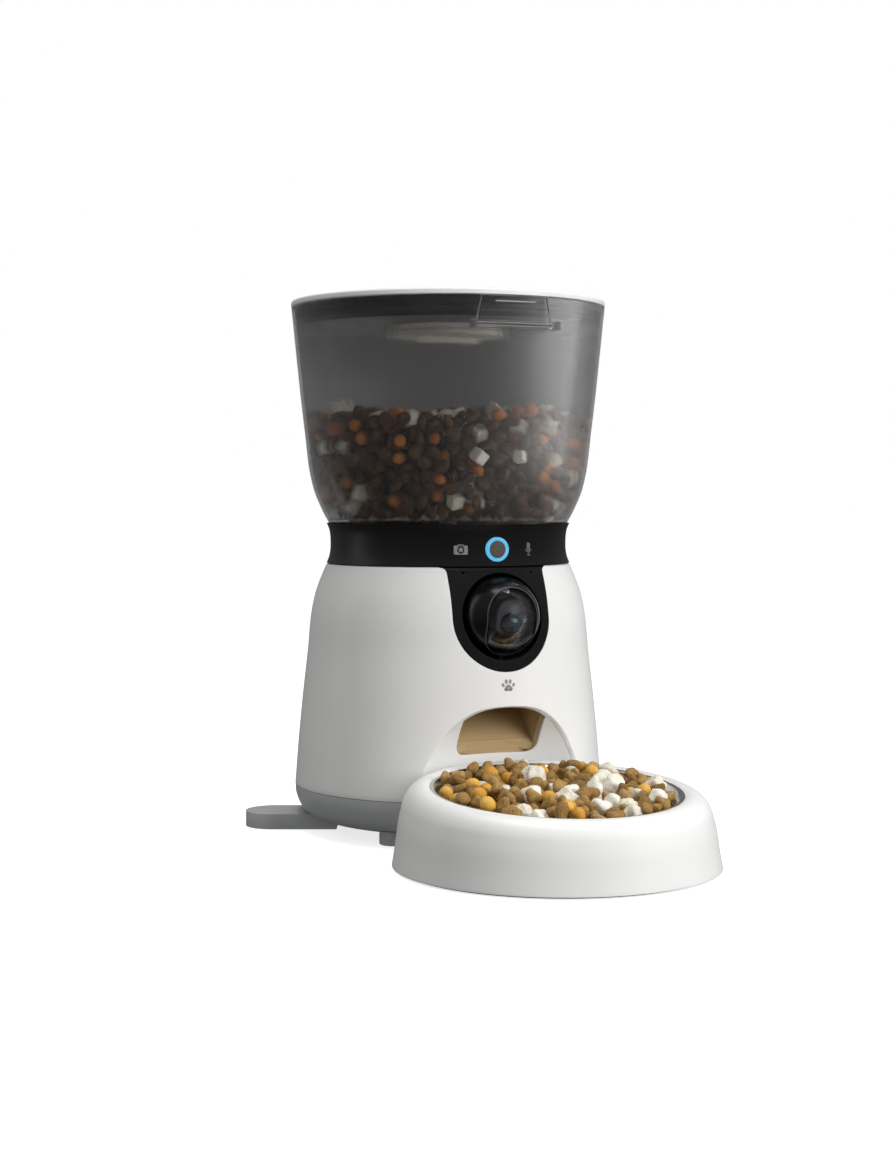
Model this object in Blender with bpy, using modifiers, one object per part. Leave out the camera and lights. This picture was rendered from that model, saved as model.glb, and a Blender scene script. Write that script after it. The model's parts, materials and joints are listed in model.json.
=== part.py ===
"""Automatic pet feeder with a camera: storage hopper, portioning rotor, chute and bowl.

Metres, +Z up.  The front, with the camera and the bowl, looks along -Y.  The origin is on the
floor, under the middle of the whole object's box.
"""

import math

import bmesh
import bpy
from mathutils import Matrix, Vector

MM = 0.001

# ---------------------------------------------------------------- driving dimensions
LID_RADIUS = 95 * MM
BOWL_REACH = 150 * MM              # from the feeder's axis forward to the bowl's axis
HOLDER_RADIUS = 90 * MM
WALL = 2.4 * MM                    # body and base shells
GAP = 0.3 * MM                     # between pieces that touch

# The box runs from the front of the bowl holder to the back of the lid.
AXIS_Y = (BOWL_REACH + HOLDER_RADIUS - LID_RADIUS) / 2
BOWL_Y = AXIS_Y - BOWL_REACH

BODY_TOP_Z = 161 * MM
LID_Z = 315.4 * MM                 # underside of the lid's rim

FOOT_Z = 6 * MM                    # height of the base's flat underside
FOOT_RADIUS = 9 * MM
FOOT_SPREAD = 74 * MM              # from the feeder's axis
FOOT_ANGLES = (("front", 48), ("rear", 152))   # degrees round from the front

# Rotor chamber, drive train and chute
CHAMBER_RADIUS = 64 * MM
CHAMBER_FLOOR_Z = 157 * MM
CHAMBER_TOP_Z = 185.2 * MM
CHAMBER_WALL = 2 * MM
ROTOR_RADIUS = 58 * MM
ROTOR_VANES = 6
OUTLET_HALF_WIDTH = 22 * MM
OUTLET_FRONT = -42 * MM            # from the axis
OUTLET_BACK = -20 * MM
SHAFT_RADIUS = 3 * MM
SHIELD_Z = 179.8 * MM

GEAR_MODULE = 1.0 * MM
OUTPUT_TEETH = 26
IDLER_PINION_TEETH = 14
IDLER_WHEEL_TEETH = 30
MOTOR_TEETH = 14
BACKLASH = 0.3 * MM
IDLER_Y = GEAR_MODULE * (OUTPUT_TEETH + IDLER_PINION_TEETH) / 2
MOTOR_Y = IDLER_Y + GEAR_MODULE * (IDLER_WHEEL_TEETH + MOTOR_TEETH) / 2
LOW_GEAR_Z = (140 * MM, 145 * MM)
HIGH_GEAR_Z = (146 * MM, 152 * MM)

# Camera
BALL_RADIUS = 23 * MM
BALL_WALL = 1.6 * MM
BALL_FORWARD = 76 * MM             # from the feeder's axis
BALL_Z = 132.6 * MM
SOCKET_RADIUS = 24.8 * MM
SOCKET_WALL = 1.5 * MM
WINDOW_SIZE = (31 * MM, 40.6 * MM)
LOOK_DOWN = math.radians(13)       # the window and the lens look a little down at the bowl
PANEL_HALF_WIDTH = 30.5 * MM
PANEL_BOTTOM_Z = 101 * MM
BALL_CENTRE = Vector((0, AXIS_Y - BALL_FORWARD, BALL_Z))

# Feed button and its light ring
BUTTON_Z = 171 * MM
RING_RADIUS = 7 * MM
BUTTON_RADIUS = 4.6 * MM

# Bowl and its holder
RIM_TILT = math.radians(4.3)       # the rim is lower at the front
HOLDER_TOP_Z = 43 * MM
RIM_RADIUS = 69.9 * MM
BOWL_DEPTH = 27 * MM
BOWL_STEEL = 0.8 * MM
BOWL_SEAT_Z = 41 * MM

# Food mouth in the alcove behind the bowl
MOUTH_HALF_WIDTH = 26 * MM
MOUTH_LOW_Z = 52 * MM

# Cells, door, inlet, stabilisers
DOOR_SPAN_X = (-50.3 * MM, 50.3 * MM)
DOOR_SPAN_Y = (-6.3 * MM, 54.3 * MM)    # behind the axis
INLET_Z = 40 * MM
RESET_X = 26 * MM
RESET_RADIUS = 3 * MM
CELL_RADIUS = 16.8 * MM
CELL_LENGTH = 61 * MM
CELL_PITCH = 35 * MM
CELL_Z = 29 * MM
STABILISER_WIDTH = 35 * MM
STABILISER_HEIGHT = 9.4 * MM
STABILISER_REACH = 124 * MM
STABILISER_TAIL = 39 * MM          # how far it runs in under the base from its round end's centre
STABILISER_ANGLE = math.radians(23.3)   # behind straight sideways

# Roundness of turned pieces
STEPS_LARGE = 32
STEPS_MEDIUM = 20
STEPS_SMALL = 12

# Outer profiles, top to bottom, as radius and height from the floor
BODY_PROFILE = [(70.5, 161.0), (74.0, 160.4), (77.0, 153.8), (80.6, 144.0), (83.0, 133.4),
                (85.5, 109.3), (88.6, 82.0), (91.6, 51.0), (93.4, 27.6)]
BASE_PROFILE = [(93.3, 27.2), (92.9, 22.0), (91.6, 18.0), (88.6, 12.6), (84.0, 9.2), (78.0, 6.9),
                (73.0, 6.0)]
BAND_PROFILE = [(73.7, 185.4), (71.7, 177.4), (71.7, 169.4), (74.0, 161.4)]
BAND_INSIDE = [(70.6, 161.4), (68.8, 164.0), (68.8, 182.6), (70.6, 185.4)]
HOPPER_PROFILE = [(94.9, 315.0), (87.2, 242.0), (83.1, 211.3), (81.2, 204.0), (77.9, 196.0),
                  (74.6, 189.2), (72.6, 185.7)]
HOLDER_PROFILE = [(67.4, 39.2), (71.0, 39.2), (71.4, 42.2), (73.2, 43.0), (77.5, 42.0),
                  (82.4, 37.6), (85.4, 29.0), (88.4, 11.0), (90.0, 1.2)]
# The alcove is the space that the holder and the falling food need, turned about the bowl's axis.
ALCOVE_PROFILE = [(40.0, 84.6), (58.0, 82.8), (66.0, 79.4), (72.0, 73.6), (77.5, 66.0),
                  (83.0, 55.0), (87.2, 44.0), (89.6, 30.0), (90.8, 18.0), (91.0, 4.0)]


# ---------------------------------------------------------------- tools
def clear_scene():
    for obj in list(bpy.data.objects):
        bpy.data.objects.remove(obj, do_unlink=True)


def new_collection(name):
    group = bpy.data.collections.new(name)
    bpy.context.scene.collection.children.link(group)
    return group


def finish_of(name, colour, roughness, metallic=0.0):
    """A plain Principled material; colour is linear RGB."""
    mat = bpy.data.materials.new(name)
    mat.use_nodes = True
    shader = mat.node_tree.nodes["Principled BSDF"]
    shader.inputs["Base Color"].default_value = (*colour, 1.0)
    shader.inputs["Roughness"].default_value = roughness
    shader.inputs["Metallic"].default_value = metallic
    return mat


clear_scene()
PARTS = new_collection("automatic_pet_feeder")
CUTTERS = new_collection("cutters")

WHITE_ABS = finish_of("white_abs", (0.86, 0.86, 0.84), 0.35)
GREY_ABS = finish_of("grey_abs", (0.33, 0.35, 0.35), 0.45)
BLACK_ABS = finish_of("black_abs", (0.008, 0.008, 0.009), 0.35)
GLOSS_BLACK = finish_of("gloss_black", (0.004, 0.004, 0.005), 0.08)
SMOKE = finish_of("smoke_polycarbonate", (0.05, 0.05, 0.05), 0.3)
SILICONE = finish_of("black_silicone", (0.012, 0.012, 0.012), 0.7)
STEEL = finish_of("stainless_steel", (0.6, 0.6, 0.6), 0.18, 1.0)
LIGHT = finish_of("light_ring", (0.15, 0.6, 0.9), 0.4)
NYLON = finish_of("nylon", (0.75, 0.73, 0.66), 0.5)
BOARD = finish_of("circuit_board", (0.02, 0.12, 0.05), 0.5)
CELL_JACKET = finish_of("cell_jacket", (0.02, 0.02, 0.025), 0.4)
LENS_GLASS = finish_of("lens_glass", (0.01, 0.03, 0.035), 0.03)


def add_object(name, data, mat=None, location=(0, 0, 0), rotation=(0, 0, 0)):
    """Put a mesh or curve in the parts collection, or in the cutters' one when mat is None."""
    obj = bpy.data.objects.new(name, data)
    obj.location = location
    obj.rotation_euler = rotation
    if mat is None:
        CUTTERS.objects.link(obj)
        obj.hide_render = True
        obj.display_type = "WIRE"
    else:
        PARTS.objects.link(obj)
        data.materials.append(mat)
    return obj


def weld_and_face_out(mesh):
    shape = bmesh.new()
    shape.from_mesh(mesh)
    bmesh.ops.remove_doubles(shape, verts=shape.verts, dist=1e-6)
    bmesh.ops.recalc_face_normals(shape, faces=shape.faces)
    shape.to_mesh(mesh)
    shape.free()


def shade(mesh, angle=35):
    mesh.shade_smooth()
    mesh.set_sharp_from_angle(angle=math.radians(angle))


def as_mesh(obj):
    """Replace a curve or a modified object by the mesh that it shows."""
    bpy.context.view_layer.update()
    seen = obj.evaluated_get(bpy.context.evaluated_depsgraph_get())
    mesh = bpy.data.meshes.new_from_object(seen)
    weld_and_face_out(mesh)
    shade(mesh)
    solid = bpy.data.objects.new(obj.name, mesh)
    solid.matrix_world = obj.matrix_world
    for group in obj.users_collection:
        group.objects.link(solid)
    solid.hide_render = obj.hide_render
    solid.display_type = obj.display_type
    name = obj.name
    bpy.data.objects.remove(obj, do_unlink=True)
    solid.name = name
    return solid


def turned(name, profile, mat, centre=(0, AXIS_Y, 0), steps=STEPS_LARGE, wall=0.0, offset=-1.0,
           rotation=(0, 0, 0)):
    """Turn a profile of (radius, height) points, top to bottom, about its own Z axis."""
    mesh = bpy.data.meshes.new(name)
    rows = [(radius, 0.0, height) for radius, height in profile]
    mesh.from_pydata(rows, [(i, i + 1) for i in range(len(rows) - 1)], [])
    obj = add_object(name, mesh, mat, centre, rotation)
    screw = obj.modifiers.new("turn", "SCREW")
    screw.steps = steps
    screw.render_steps = steps
    screw.use_merge_vertices = True
    screw.merge_threshold = 0.00005
    if wall:
        thick = obj.modifiers.new("wall", "SOLIDIFY")
        thick.thickness = wall
        thick.offset = offset
        thick.use_even_offset = True
    return obj


def in_mm(profile, shift=0.0):
    """Millimetre profile to metres, its radius changed by shift."""
    return [(radius * MM + shift, height * MM) for radius, height in profile]


def filled(profile):
    """Close an outer profile to the axis, for a solid turned piece."""
    return [(0.0, profile[0][1])] + profile + [(0.0, profile[-1][1])]


def plate(name, outline, thickness, mat, location, rotation=(0, 0, 0)):
    """A flat outline with a thickness, centred on its own plane."""
    curve = bpy.data.curves.new(name, "CURVE")
    curve.dimensions = "2D"
    curve.fill_mode = "BOTH"
    curve.extrude = thickness / 2
    spline = curve.splines.new("POLY")
    spline.points.add(len(outline) - 1)
    for point, (x, y) in zip(spline.points, outline):
        point.co = (x, y, 0, 1)
    spline.use_cyclic_u = True
    return as_mesh(add_object(name, curve, mat, location, rotation))


FRONT_VIEW = (math.pi / 2, 0, 0)                # outline in X and Z, thickness along Y
SIDE_VIEW = (math.pi / 2, 0, math.pi / 2)       # outline in Y and Z, thickness along X


def arc(centre, radius, start, end, count):
    """Points on an arc, angles in degrees."""
    angles = [math.radians(start + (end - start) * i / count) for i in range(count + 1)]
    return [(centre[0] + radius * math.cos(a), centre[1] + radius * math.sin(a)) for a in angles]


def rounded(left, right, low, high, radius, count=4):
    """A rectangle with round corners, anticlockwise."""
    return (arc((right - radius, low + radius), radius, -90, 0, count)
            + arc((right - radius, high - radius), radius, 0, 90, count)
            + arc((left + radius, high - radius), radius, 90, 180, count)
            + arc((left + radius, low + radius), radius, 180, 270, count))


def box(name, size, centre, mat, rounding=0.0):
    mesh = bpy.data.meshes.new(name)
    shape = bmesh.new()
    bmesh.ops.create_cube(shape, size=1.0)
    bmesh.ops.scale(shape, vec=size, verts=shape.verts)
    shape.to_mesh(mesh)
    shape.free()
    obj = add_object(name, mesh, mat, centre)
    if rounding:
        bevel = obj.modifiers.new("round", "BEVEL")
        bevel.width = rounding
        bevel.segments = 2
    return obj


def rod(name, radius, start, end, mat, steps=STEPS_SMALL):
    """A cylinder from one point to another."""
    start, end = Vector(start), Vector(end)
    along = end - start
    mesh = bpy.data.meshes.new(name)
    shape = bmesh.new()
    bmesh.ops.create_cone(shape, cap_ends=True, segments=steps, radius1=radius, radius2=radius,
                          depth=along.length)
    shape.to_mesh(mesh)
    shape.free()
    shade(mesh)
    turn = Vector((0, 0, 1)).rotation_difference(along)
    return add_object(name, mesh, mat, (start + end) / 2, turn.to_euler())


def combine(obj, other, operation):
    step = obj.modifiers.new(operation.lower(), "BOOLEAN")
    step.operation = operation
    step.object = other
    step.solver = "EXACT"


def cut(obj, *cutters):
    for cutter in cutters:
        combine(obj, cutter, "DIFFERENCE")


def keep_inside(obj, envelope):
    combine(obj, envelope, "INTERSECT")


def join(obj, *others):
    for other in others:
        combine(obj, other, "UNION")


def joint_point(name, location, *pieces):
    """An empty on a joint's axis, with the pieces that move about it as its children."""
    empty = bpy.data.objects.new(name, None)
    empty.location = location
    PARTS.objects.link(empty)
    for piece in pieces:
        piece.parent = empty
        piece.matrix_parent_inverse = Matrix.Translation(-Vector(location))


def at(x, forward, z):
    """A point given from the feeder's axis, forward being towards the bowl."""
    return Vector((x, AXIS_Y - forward, z))


# ---------------------------------------------------------------- envelopes shared by several pieces
def body_envelope(name, shift, low, high):
    """The inside of the body and base, its wall moved in by shift, between two heights."""
    outline = in_mm(BODY_PROFILE[1:], -shift)
    outline += [(radius, height + shift) for radius, height in in_mm(BASE_PROFILE[1:], -shift)]
    outline = [point for point in outline if low < point[1] < high]
    outline = [(outline[0][0], high)] + outline + [(outline[-1][0], low)]
    return turned(name, filled(outline), None)


def alcove_cutter(name, shift):
    """The alcove's space, larger by shift all round."""
    outline = in_mm(ALCOVE_PROFILE, shift)
    top = outline[0][1] + shift
    outline = [(outline[0][0], top)] + [(r, z + shift * 0.6) for r, z in outline[1:-1]]
    outline.append((outline[-1][0], 0.0))
    return turned(name, filled(outline), None, (0, BOWL_Y, 0))


def panel_outline(half_width, bottom, top):
    centre = (0.0, bottom + half_width)
    return arc(centre, half_width, 180, 360, 16) + [(half_width, top), (-half_width, top)]


def base_outside(name):
    """The space that the base fills, a gap larger, for what stands against its underside."""
    outline = [(radius + GAP, height) for radius, height in in_mm(BASE_PROFILE)]
    outline = [(radius, height - GAP) for radius, height in outline]
    return turned(name, filled([(outline[0][0], 40 * MM)] + outline), None)


# ---------------------------------------------------------------- white body, base and alcove
def make_body():
    body = turned("body_shell", in_mm(BODY_PROFILE), WHITE_ABS, wall=WALL)
    space = alcove_cutter("cut_body_alcove", 0.0)
    bib = plate("cut_body_panel", panel_outline(PANEL_HALF_WIDTH, PANEL_BOTTOM_Z, BODY_TOP_Z + 6 * MM),
                60 * MM, None, at(0, 85 * MM, 0), FRONT_VIEW)
    inlet = rod("cut_body_inlet", 6.2 * MM, at(0, -80 * MM, INLET_Z), at(0, -100 * MM, INLET_Z), None)
    reset = rod("cut_body_reset", RESET_RADIUS + GAP, at(RESET_X, -80 * MM, INLET_Z),
                at(RESET_X, -100 * MM, INLET_Z), None)
    cut(body, space, bib, inlet, reset)

    base = turned("base_shell", in_mm(BASE_PROFILE) + [(0.0, FOOT_Z)], GREY_ABS, wall=WALL)
    door_hole = plate("cut_base_door", rounded(*DOOR_SPAN_X, *DOOR_SPAN_Y, 3 * MM), 10 * MM, None,
                      (0, AXIS_Y, FOOT_Z))
    cut(base, alcove_cutter("cut_base_alcove", GAP), door_hole)

    alcove = turned("alcove", in_mm(ALCOVE_PROFILE), WHITE_ABS, (0, BOWL_Y, 0), wall=2 * MM, offset=1.0)
    inside = body_envelope("keep_alcove", WALL + GAP, FOOT_Z + WALL + 0.9 * MM, 90 * MM)
    # The mouth is open up to the body's own arch, so its outline runs past the top.
    outline = rounded(-MOUTH_HALF_WIDTH, MOUTH_HALF_WIDTH, MOUTH_LOW_Z, 110 * MM, 8 * MM)
    mouth = plate("cut_alcove_mouth", outline, 60 * MM, None, at(0, 75 * MM, 0), FRONT_VIEW)
    slot = box("cut_alcove_slot", (37 * MM, 30 * MM, 7.4 * MM), at(0, 60 * MM, 15 * MM), None)
    keep_inside(alcove, inside)
    cut(alcove, mouth, slot)
    return body, base, alcove


# ---------------------------------------------------------------- black band, panel, button and light
def make_band():
    section = in_mm(BAND_PROFILE + BAND_INSIDE + BAND_PROFILE[:1])
    band = turned("control_band", section, BLACK_ABS)
    hole = rod("cut_band_ring", RING_RADIUS + GAP, at(0, 60 * MM, BUTTON_Z), at(0, 80 * MM, BUTTON_Z), None,
               STEPS_MEDIUM)
    cut(band, hole)

    panel = turned("camera_panel", in_mm(BODY_PROFILE, -0.2 * MM)[:7], BLACK_ABS, wall=2.2 * MM)
    outline = panel_outline(PANEL_HALF_WIDTH - GAP, PANEL_BOTTOM_Z + GAP, BODY_TOP_Z + 4 * MM)
    bib = plate("keep_panel", outline, 50 * MM, None, at(0, 85 * MM, 0), FRONT_VIEW)
    socket_hole = rod("cut_panel_socket", SOCKET_RADIUS + 0.2 * MM, at(0, 70 * MM, BALL_Z),
                      at(0, 100 * MM, BALL_Z), None, STEPS_MEDIUM)
    keep_inside(panel, bib)
    cut(panel, socket_hole)

    ring_profile = [(BUTTON_RADIUS + GAP, 1.2 * MM), (RING_RADIUS, 1.2 * MM), (RING_RADIUS, -2.6 * MM),
                    (BUTTON_RADIUS + GAP, -2.6 * MM), (BUTTON_RADIUS + GAP, 1.2 * MM)]
    turned("light_ring", ring_profile, LIGHT, at(0, 71.8 * MM, BUTTON_Z), STEPS_MEDIUM, rotation=FRONT_VIEW)

    button_profile = [(0.0, 1.0 * MM), (BUTTON_RADIUS - 0.4 * MM, 1.0 * MM), (BUTTON_RADIUS, 0.6 * MM),
                      (BUTTON_RADIUS, -2.4 * MM), (2 * MM, -2.4 * MM), (2 * MM, -4.2 * MM),
                      (0.0, -4.2 * MM)]
    turned("feed_button", button_profile, GREY_ABS, at(0, 71.8 * MM, BUTTON_Z), STEPS_MEDIUM,
           rotation=FRONT_VIEW)
    box("button_board", (27 * MM, 1.2 * MM, 15 * MM), at(0, 65.6 * MM, BUTTON_Z), BOARD)


# ---------------------------------------------------------------- hopper, lid and latch
LATCH_AXIS = at(0, 96.6 * MM, 298.4 * MM)
LATCH_TOP_HALF = 20 * MM
LATCH_LOW_HALF = 24 * MM
LATCH_Z = (296.4 * MM, 314.6 * MM)


def make_hopper():
    neck = [(61.3 * MM, 185.7 * MM), (61.3 * MM, 181.2 * MM)]
    hopper = turned("hopper", in_mm(HOPPER_PROFILE) + neck, SMOKE, wall=2 * MM)
    for side, word in ((-1, "left"), (1, "right")):
        join(hopper, box(f"join_lug_{word}", (2.4 * MM, 10 * MM, 4.6 * MM),
                         LATCH_AXIS + Vector((side * 25.8 * MM, 2.6 * MM, 0)), None))
        cut(hopper, rod(f"cut_lug_{word}", 1.1 * MM, LATCH_AXIS + Vector((side * 20 * MM, 0, 0)),
                        LATCH_AXIS + Vector((side * 30 * MM, 0, 0)), None))
    rod("latch_pin", 0.8 * MM, LATCH_AXIS - Vector((27 * MM, 0, 0)), LATCH_AXIS + Vector((27 * MM, 0, 0)),
        STEEL)

    latch = turned("lid_latch", [(97.4 * MM, LATCH_Z[1]), (97.4 * MM, LATCH_Z[0])], SMOKE, wall=1.8 * MM)
    outline = [(-LATCH_LOW_HALF, LATCH_Z[0] - 2 * MM), (LATCH_LOW_HALF, LATCH_Z[0] - 2 * MM),
               (LATCH_TOP_HALF, LATCH_Z[1] + 2 * MM), (-LATCH_TOP_HALF, LATCH_Z[1] + 2 * MM)]
    keep_inside(latch, plate("keep_latch", outline, 40 * MM, None, at(0, 96 * MM, 0), FRONT_VIEW))
    knuckle_end = Vector((23.6 * MM, 0, 0))
    join(latch, rod("join_latch_knuckle", 2.1 * MM, LATCH_AXIS - knuckle_end, LATCH_AXIS + knuckle_end,
                    None))
    bore_end = Vector((30 * MM, 0, 0))
    cut(latch, rod("cut_latch_bore", 1.15 * MM, LATCH_AXIS - bore_end, LATCH_AXIS + bore_end, None))
    joint_point("lid_latch_axis", LATCH_AXIS, latch)


def make_lid():
    lid_profile = [(0.0, LID_Z + 5.6 * MM), (60 * MM, LID_Z + 5.2 * MM), (88 * MM, LID_Z + 4.2 * MM),
                   (93.4 * MM, LID_Z + 3.3 * MM), (LID_RADIUS, LID_Z + 2.2 * MM), (LID_RADIUS, LID_Z),
                   (90 * MM, LID_Z), (88 * MM, LID_Z + 1.6 * MM), (0.0, LID_Z + 2.6 * MM)]
    turned("lid_cover", lid_profile, WHITE_ABS)
    liner = [(60 * MM, LID_Z - 0.3 * MM), (89.6 * MM, LID_Z - 0.3 * MM), (89.6 * MM, LID_Z - 9 * MM),
             (86 * MM, LID_Z - 11.4 * MM), (36 * MM, LID_Z - 11.4 * MM)]
    turned("lid_liner", liner, BLACK_ABS, wall=1.6 * MM, offset=-1.0)
    seal = [(89.9 * MM, LID_Z - 2 * MM), (92.0 * MM, LID_Z - 2 * MM), (92.0 * MM, LID_Z - 4 * MM),
            (91.2 * MM, LID_Z - 5 * MM), (91.6 * MM, LID_Z - 6.6 * MM), (89.9 * MM, LID_Z - 8 * MM),
            (89.9 * MM, LID_Z - 2 * MM)]
    turned("lid_seal", seal, SILICONE)
    tub = [(0.0, LID_Z - 1 * MM), (33 * MM, LID_Z - 1 * MM), (33 * MM, LID_Z - 14 * MM)]
    turned("desiccant_box", tub, WHITE_ABS, wall=1.6 * MM, steps=STEPS_MEDIUM)
    cap = [(0.0, LID_Z - 14.4 * MM), (33.6 * MM, LID_Z - 14.4 * MM), (33.6 * MM, LID_Z - 17.2 * MM),
           (0.0, LID_Z - 17.2 * MM)]
    grip = box("join_cap_grip", (38 * MM, 5 * MM, 4 * MM), (0, AXIS_Y, LID_Z - 18.6 * MM), None)
    join(turned("desiccant_cap", cap, NYLON, steps=STEPS_MEDIUM), grip)


# ---------------------------------------------------------------- portioning chamber, rotor and drive
def gear_outline(teeth, first_tooth):
    """An involute-like outline; first_tooth is the angle of one tooth's middle."""
    pitch = GEAR_MODULE * teeth / 2
    root, tip = pitch - 1.2 * GEAR_MODULE, pitch + 0.95 * GEAR_MODULE
    pressure = math.radians(20)
    base = pitch * math.cos(pressure)
    half_at_pitch = (math.pi * GEAR_MODULE - BACKLASH) / (4 * pitch)
    involute_at_pitch = math.tan(pressure) - pressure

    def half_angle(radius):
        lean = math.acos(min(1.0, base / max(radius, base)))
        return half_at_pitch + involute_at_pitch - (math.tan(lean) - lean)

    flank = [(root, half_angle(root)), (tip, half_angle(tip))]
    points = []
    for tooth in range(teeth):
        middle = first_tooth + 2 * math.pi * tooth / teeth
        for radius, half in flank:
            points.append((radius * math.cos(middle - half), radius * math.sin(middle - half)))
        for radius, half in reversed(flank):
            points.append((radius * math.cos(middle + half), radius * math.sin(middle + half)))
    return points


def gear(name, teeth, first_tooth, span, back, mat):
    """A spur gear on a vertical axis behind the feeder's axis, between two heights."""
    middle = (span[0] + span[1]) / 2
    return plate(name, gear_outline(teeth, first_tooth), span[1] - span[0], mat,
                 (0, AXIS_Y + back, middle))


def make_chamber():
    wall_profile = [(68 * MM, CHAMBER_TOP_Z), (68 * MM, CHAMBER_TOP_Z - 2 * MM),
                    (CHAMBER_RADIUS, CHAMBER_TOP_Z - 2 * MM), (CHAMBER_RADIUS, CHAMBER_FLOOR_Z),
                    (4 * MM, CHAMBER_FLOOR_Z), (4 * MM, CHAMBER_FLOOR_Z + CHAMBER_WALL),
                    (CHAMBER_RADIUS - CHAMBER_WALL, CHAMBER_FLOOR_Z + CHAMBER_WALL),
                    (CHAMBER_RADIUS - CHAMBER_WALL, CHAMBER_TOP_Z), (68 * MM, CHAMBER_TOP_Z)]
    chamber = turned("rotor_chamber", wall_profile, BLACK_ABS)
    outlet_middle = -(OUTLET_FRONT + OUTLET_BACK) / 2
    outlet = box("cut_chamber_outlet", (2 * OUTLET_HALF_WIDTH, OUTLET_BACK - OUTLET_FRONT, 12 * MM),
                 at(0, outlet_middle, CHAMBER_FLOOR_Z), None)
    cut(chamber, outlet)

    outline = arc((0, 0), 61.6 * MM, 218, 322, 12) + arc((0, 0), 10.5 * MM, 322, 218, 6)
    plate("outlet_shield", outline, 1.6 * MM, BLACK_ABS, (0, AXIS_Y, SHIELD_Z))

    hub = turned("rotor", [(0.0, 178.4 * MM), (9 * MM, 178.4 * MM), (9 * MM, 159.6 * MM),
                           (SHAFT_RADIUS + GAP, 159.6 * MM), (SHAFT_RADIUS + GAP, 174 * MM),
                           (0.0, 174 * MM)], WHITE_ABS, steps=STEPS_MEDIUM)
    for number in range(ROTOR_VANES):
        turn = 2 * math.pi * (number + 0.5) / ROTOR_VANES
        vane = box(f"join_vane_{number}", (ROTOR_RADIUS - 8 * MM, 3 * MM, 18 * MM),
                   Vector((math.cos(turn), math.sin(turn), 0)) * (ROTOR_RADIUS + 8 * MM) / 2
                   + Vector((0, AXIS_Y, 169 * MM)), None)
        vane.rotation_euler = (0, 0, turn)
        join(hub, vane)
    finger = turned("stirrer", [(0.0, 214 * MM), (3 * MM, 213 * MM), (5 * MM, 190 * MM),
                                (6 * MM, 178.8 * MM), (0.0, 178.8 * MM)], WHITE_ABS, steps=STEPS_SMALL)
    arm = box("join_stirrer_arm", (70 * MM, 5 * MM, 5 * MM), (0, AXIS_Y, 194 * MM), None)
    join(finger, arm)

    rod("drive_shaft", SHAFT_RADIUS, (0, AXIS_Y, 140 * MM), (0, AXIS_Y, 173.4 * MM), STEEL)


HOUSING_Z = (138.6 * MM, 156.6 * MM)
HOUSING_SPAN_X = (-19.5 * MM, 19.5 * MM)
HOUSING_SPAN_Y = (-17.6 * MM, 56 * MM)
HOUSING_WALL = 1.6 * MM
SCREW_PLACES = [(x, y) for x in (-14.6 * MM, 14.6 * MM) for y in (-12.8 * MM, 51 * MM)]


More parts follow.
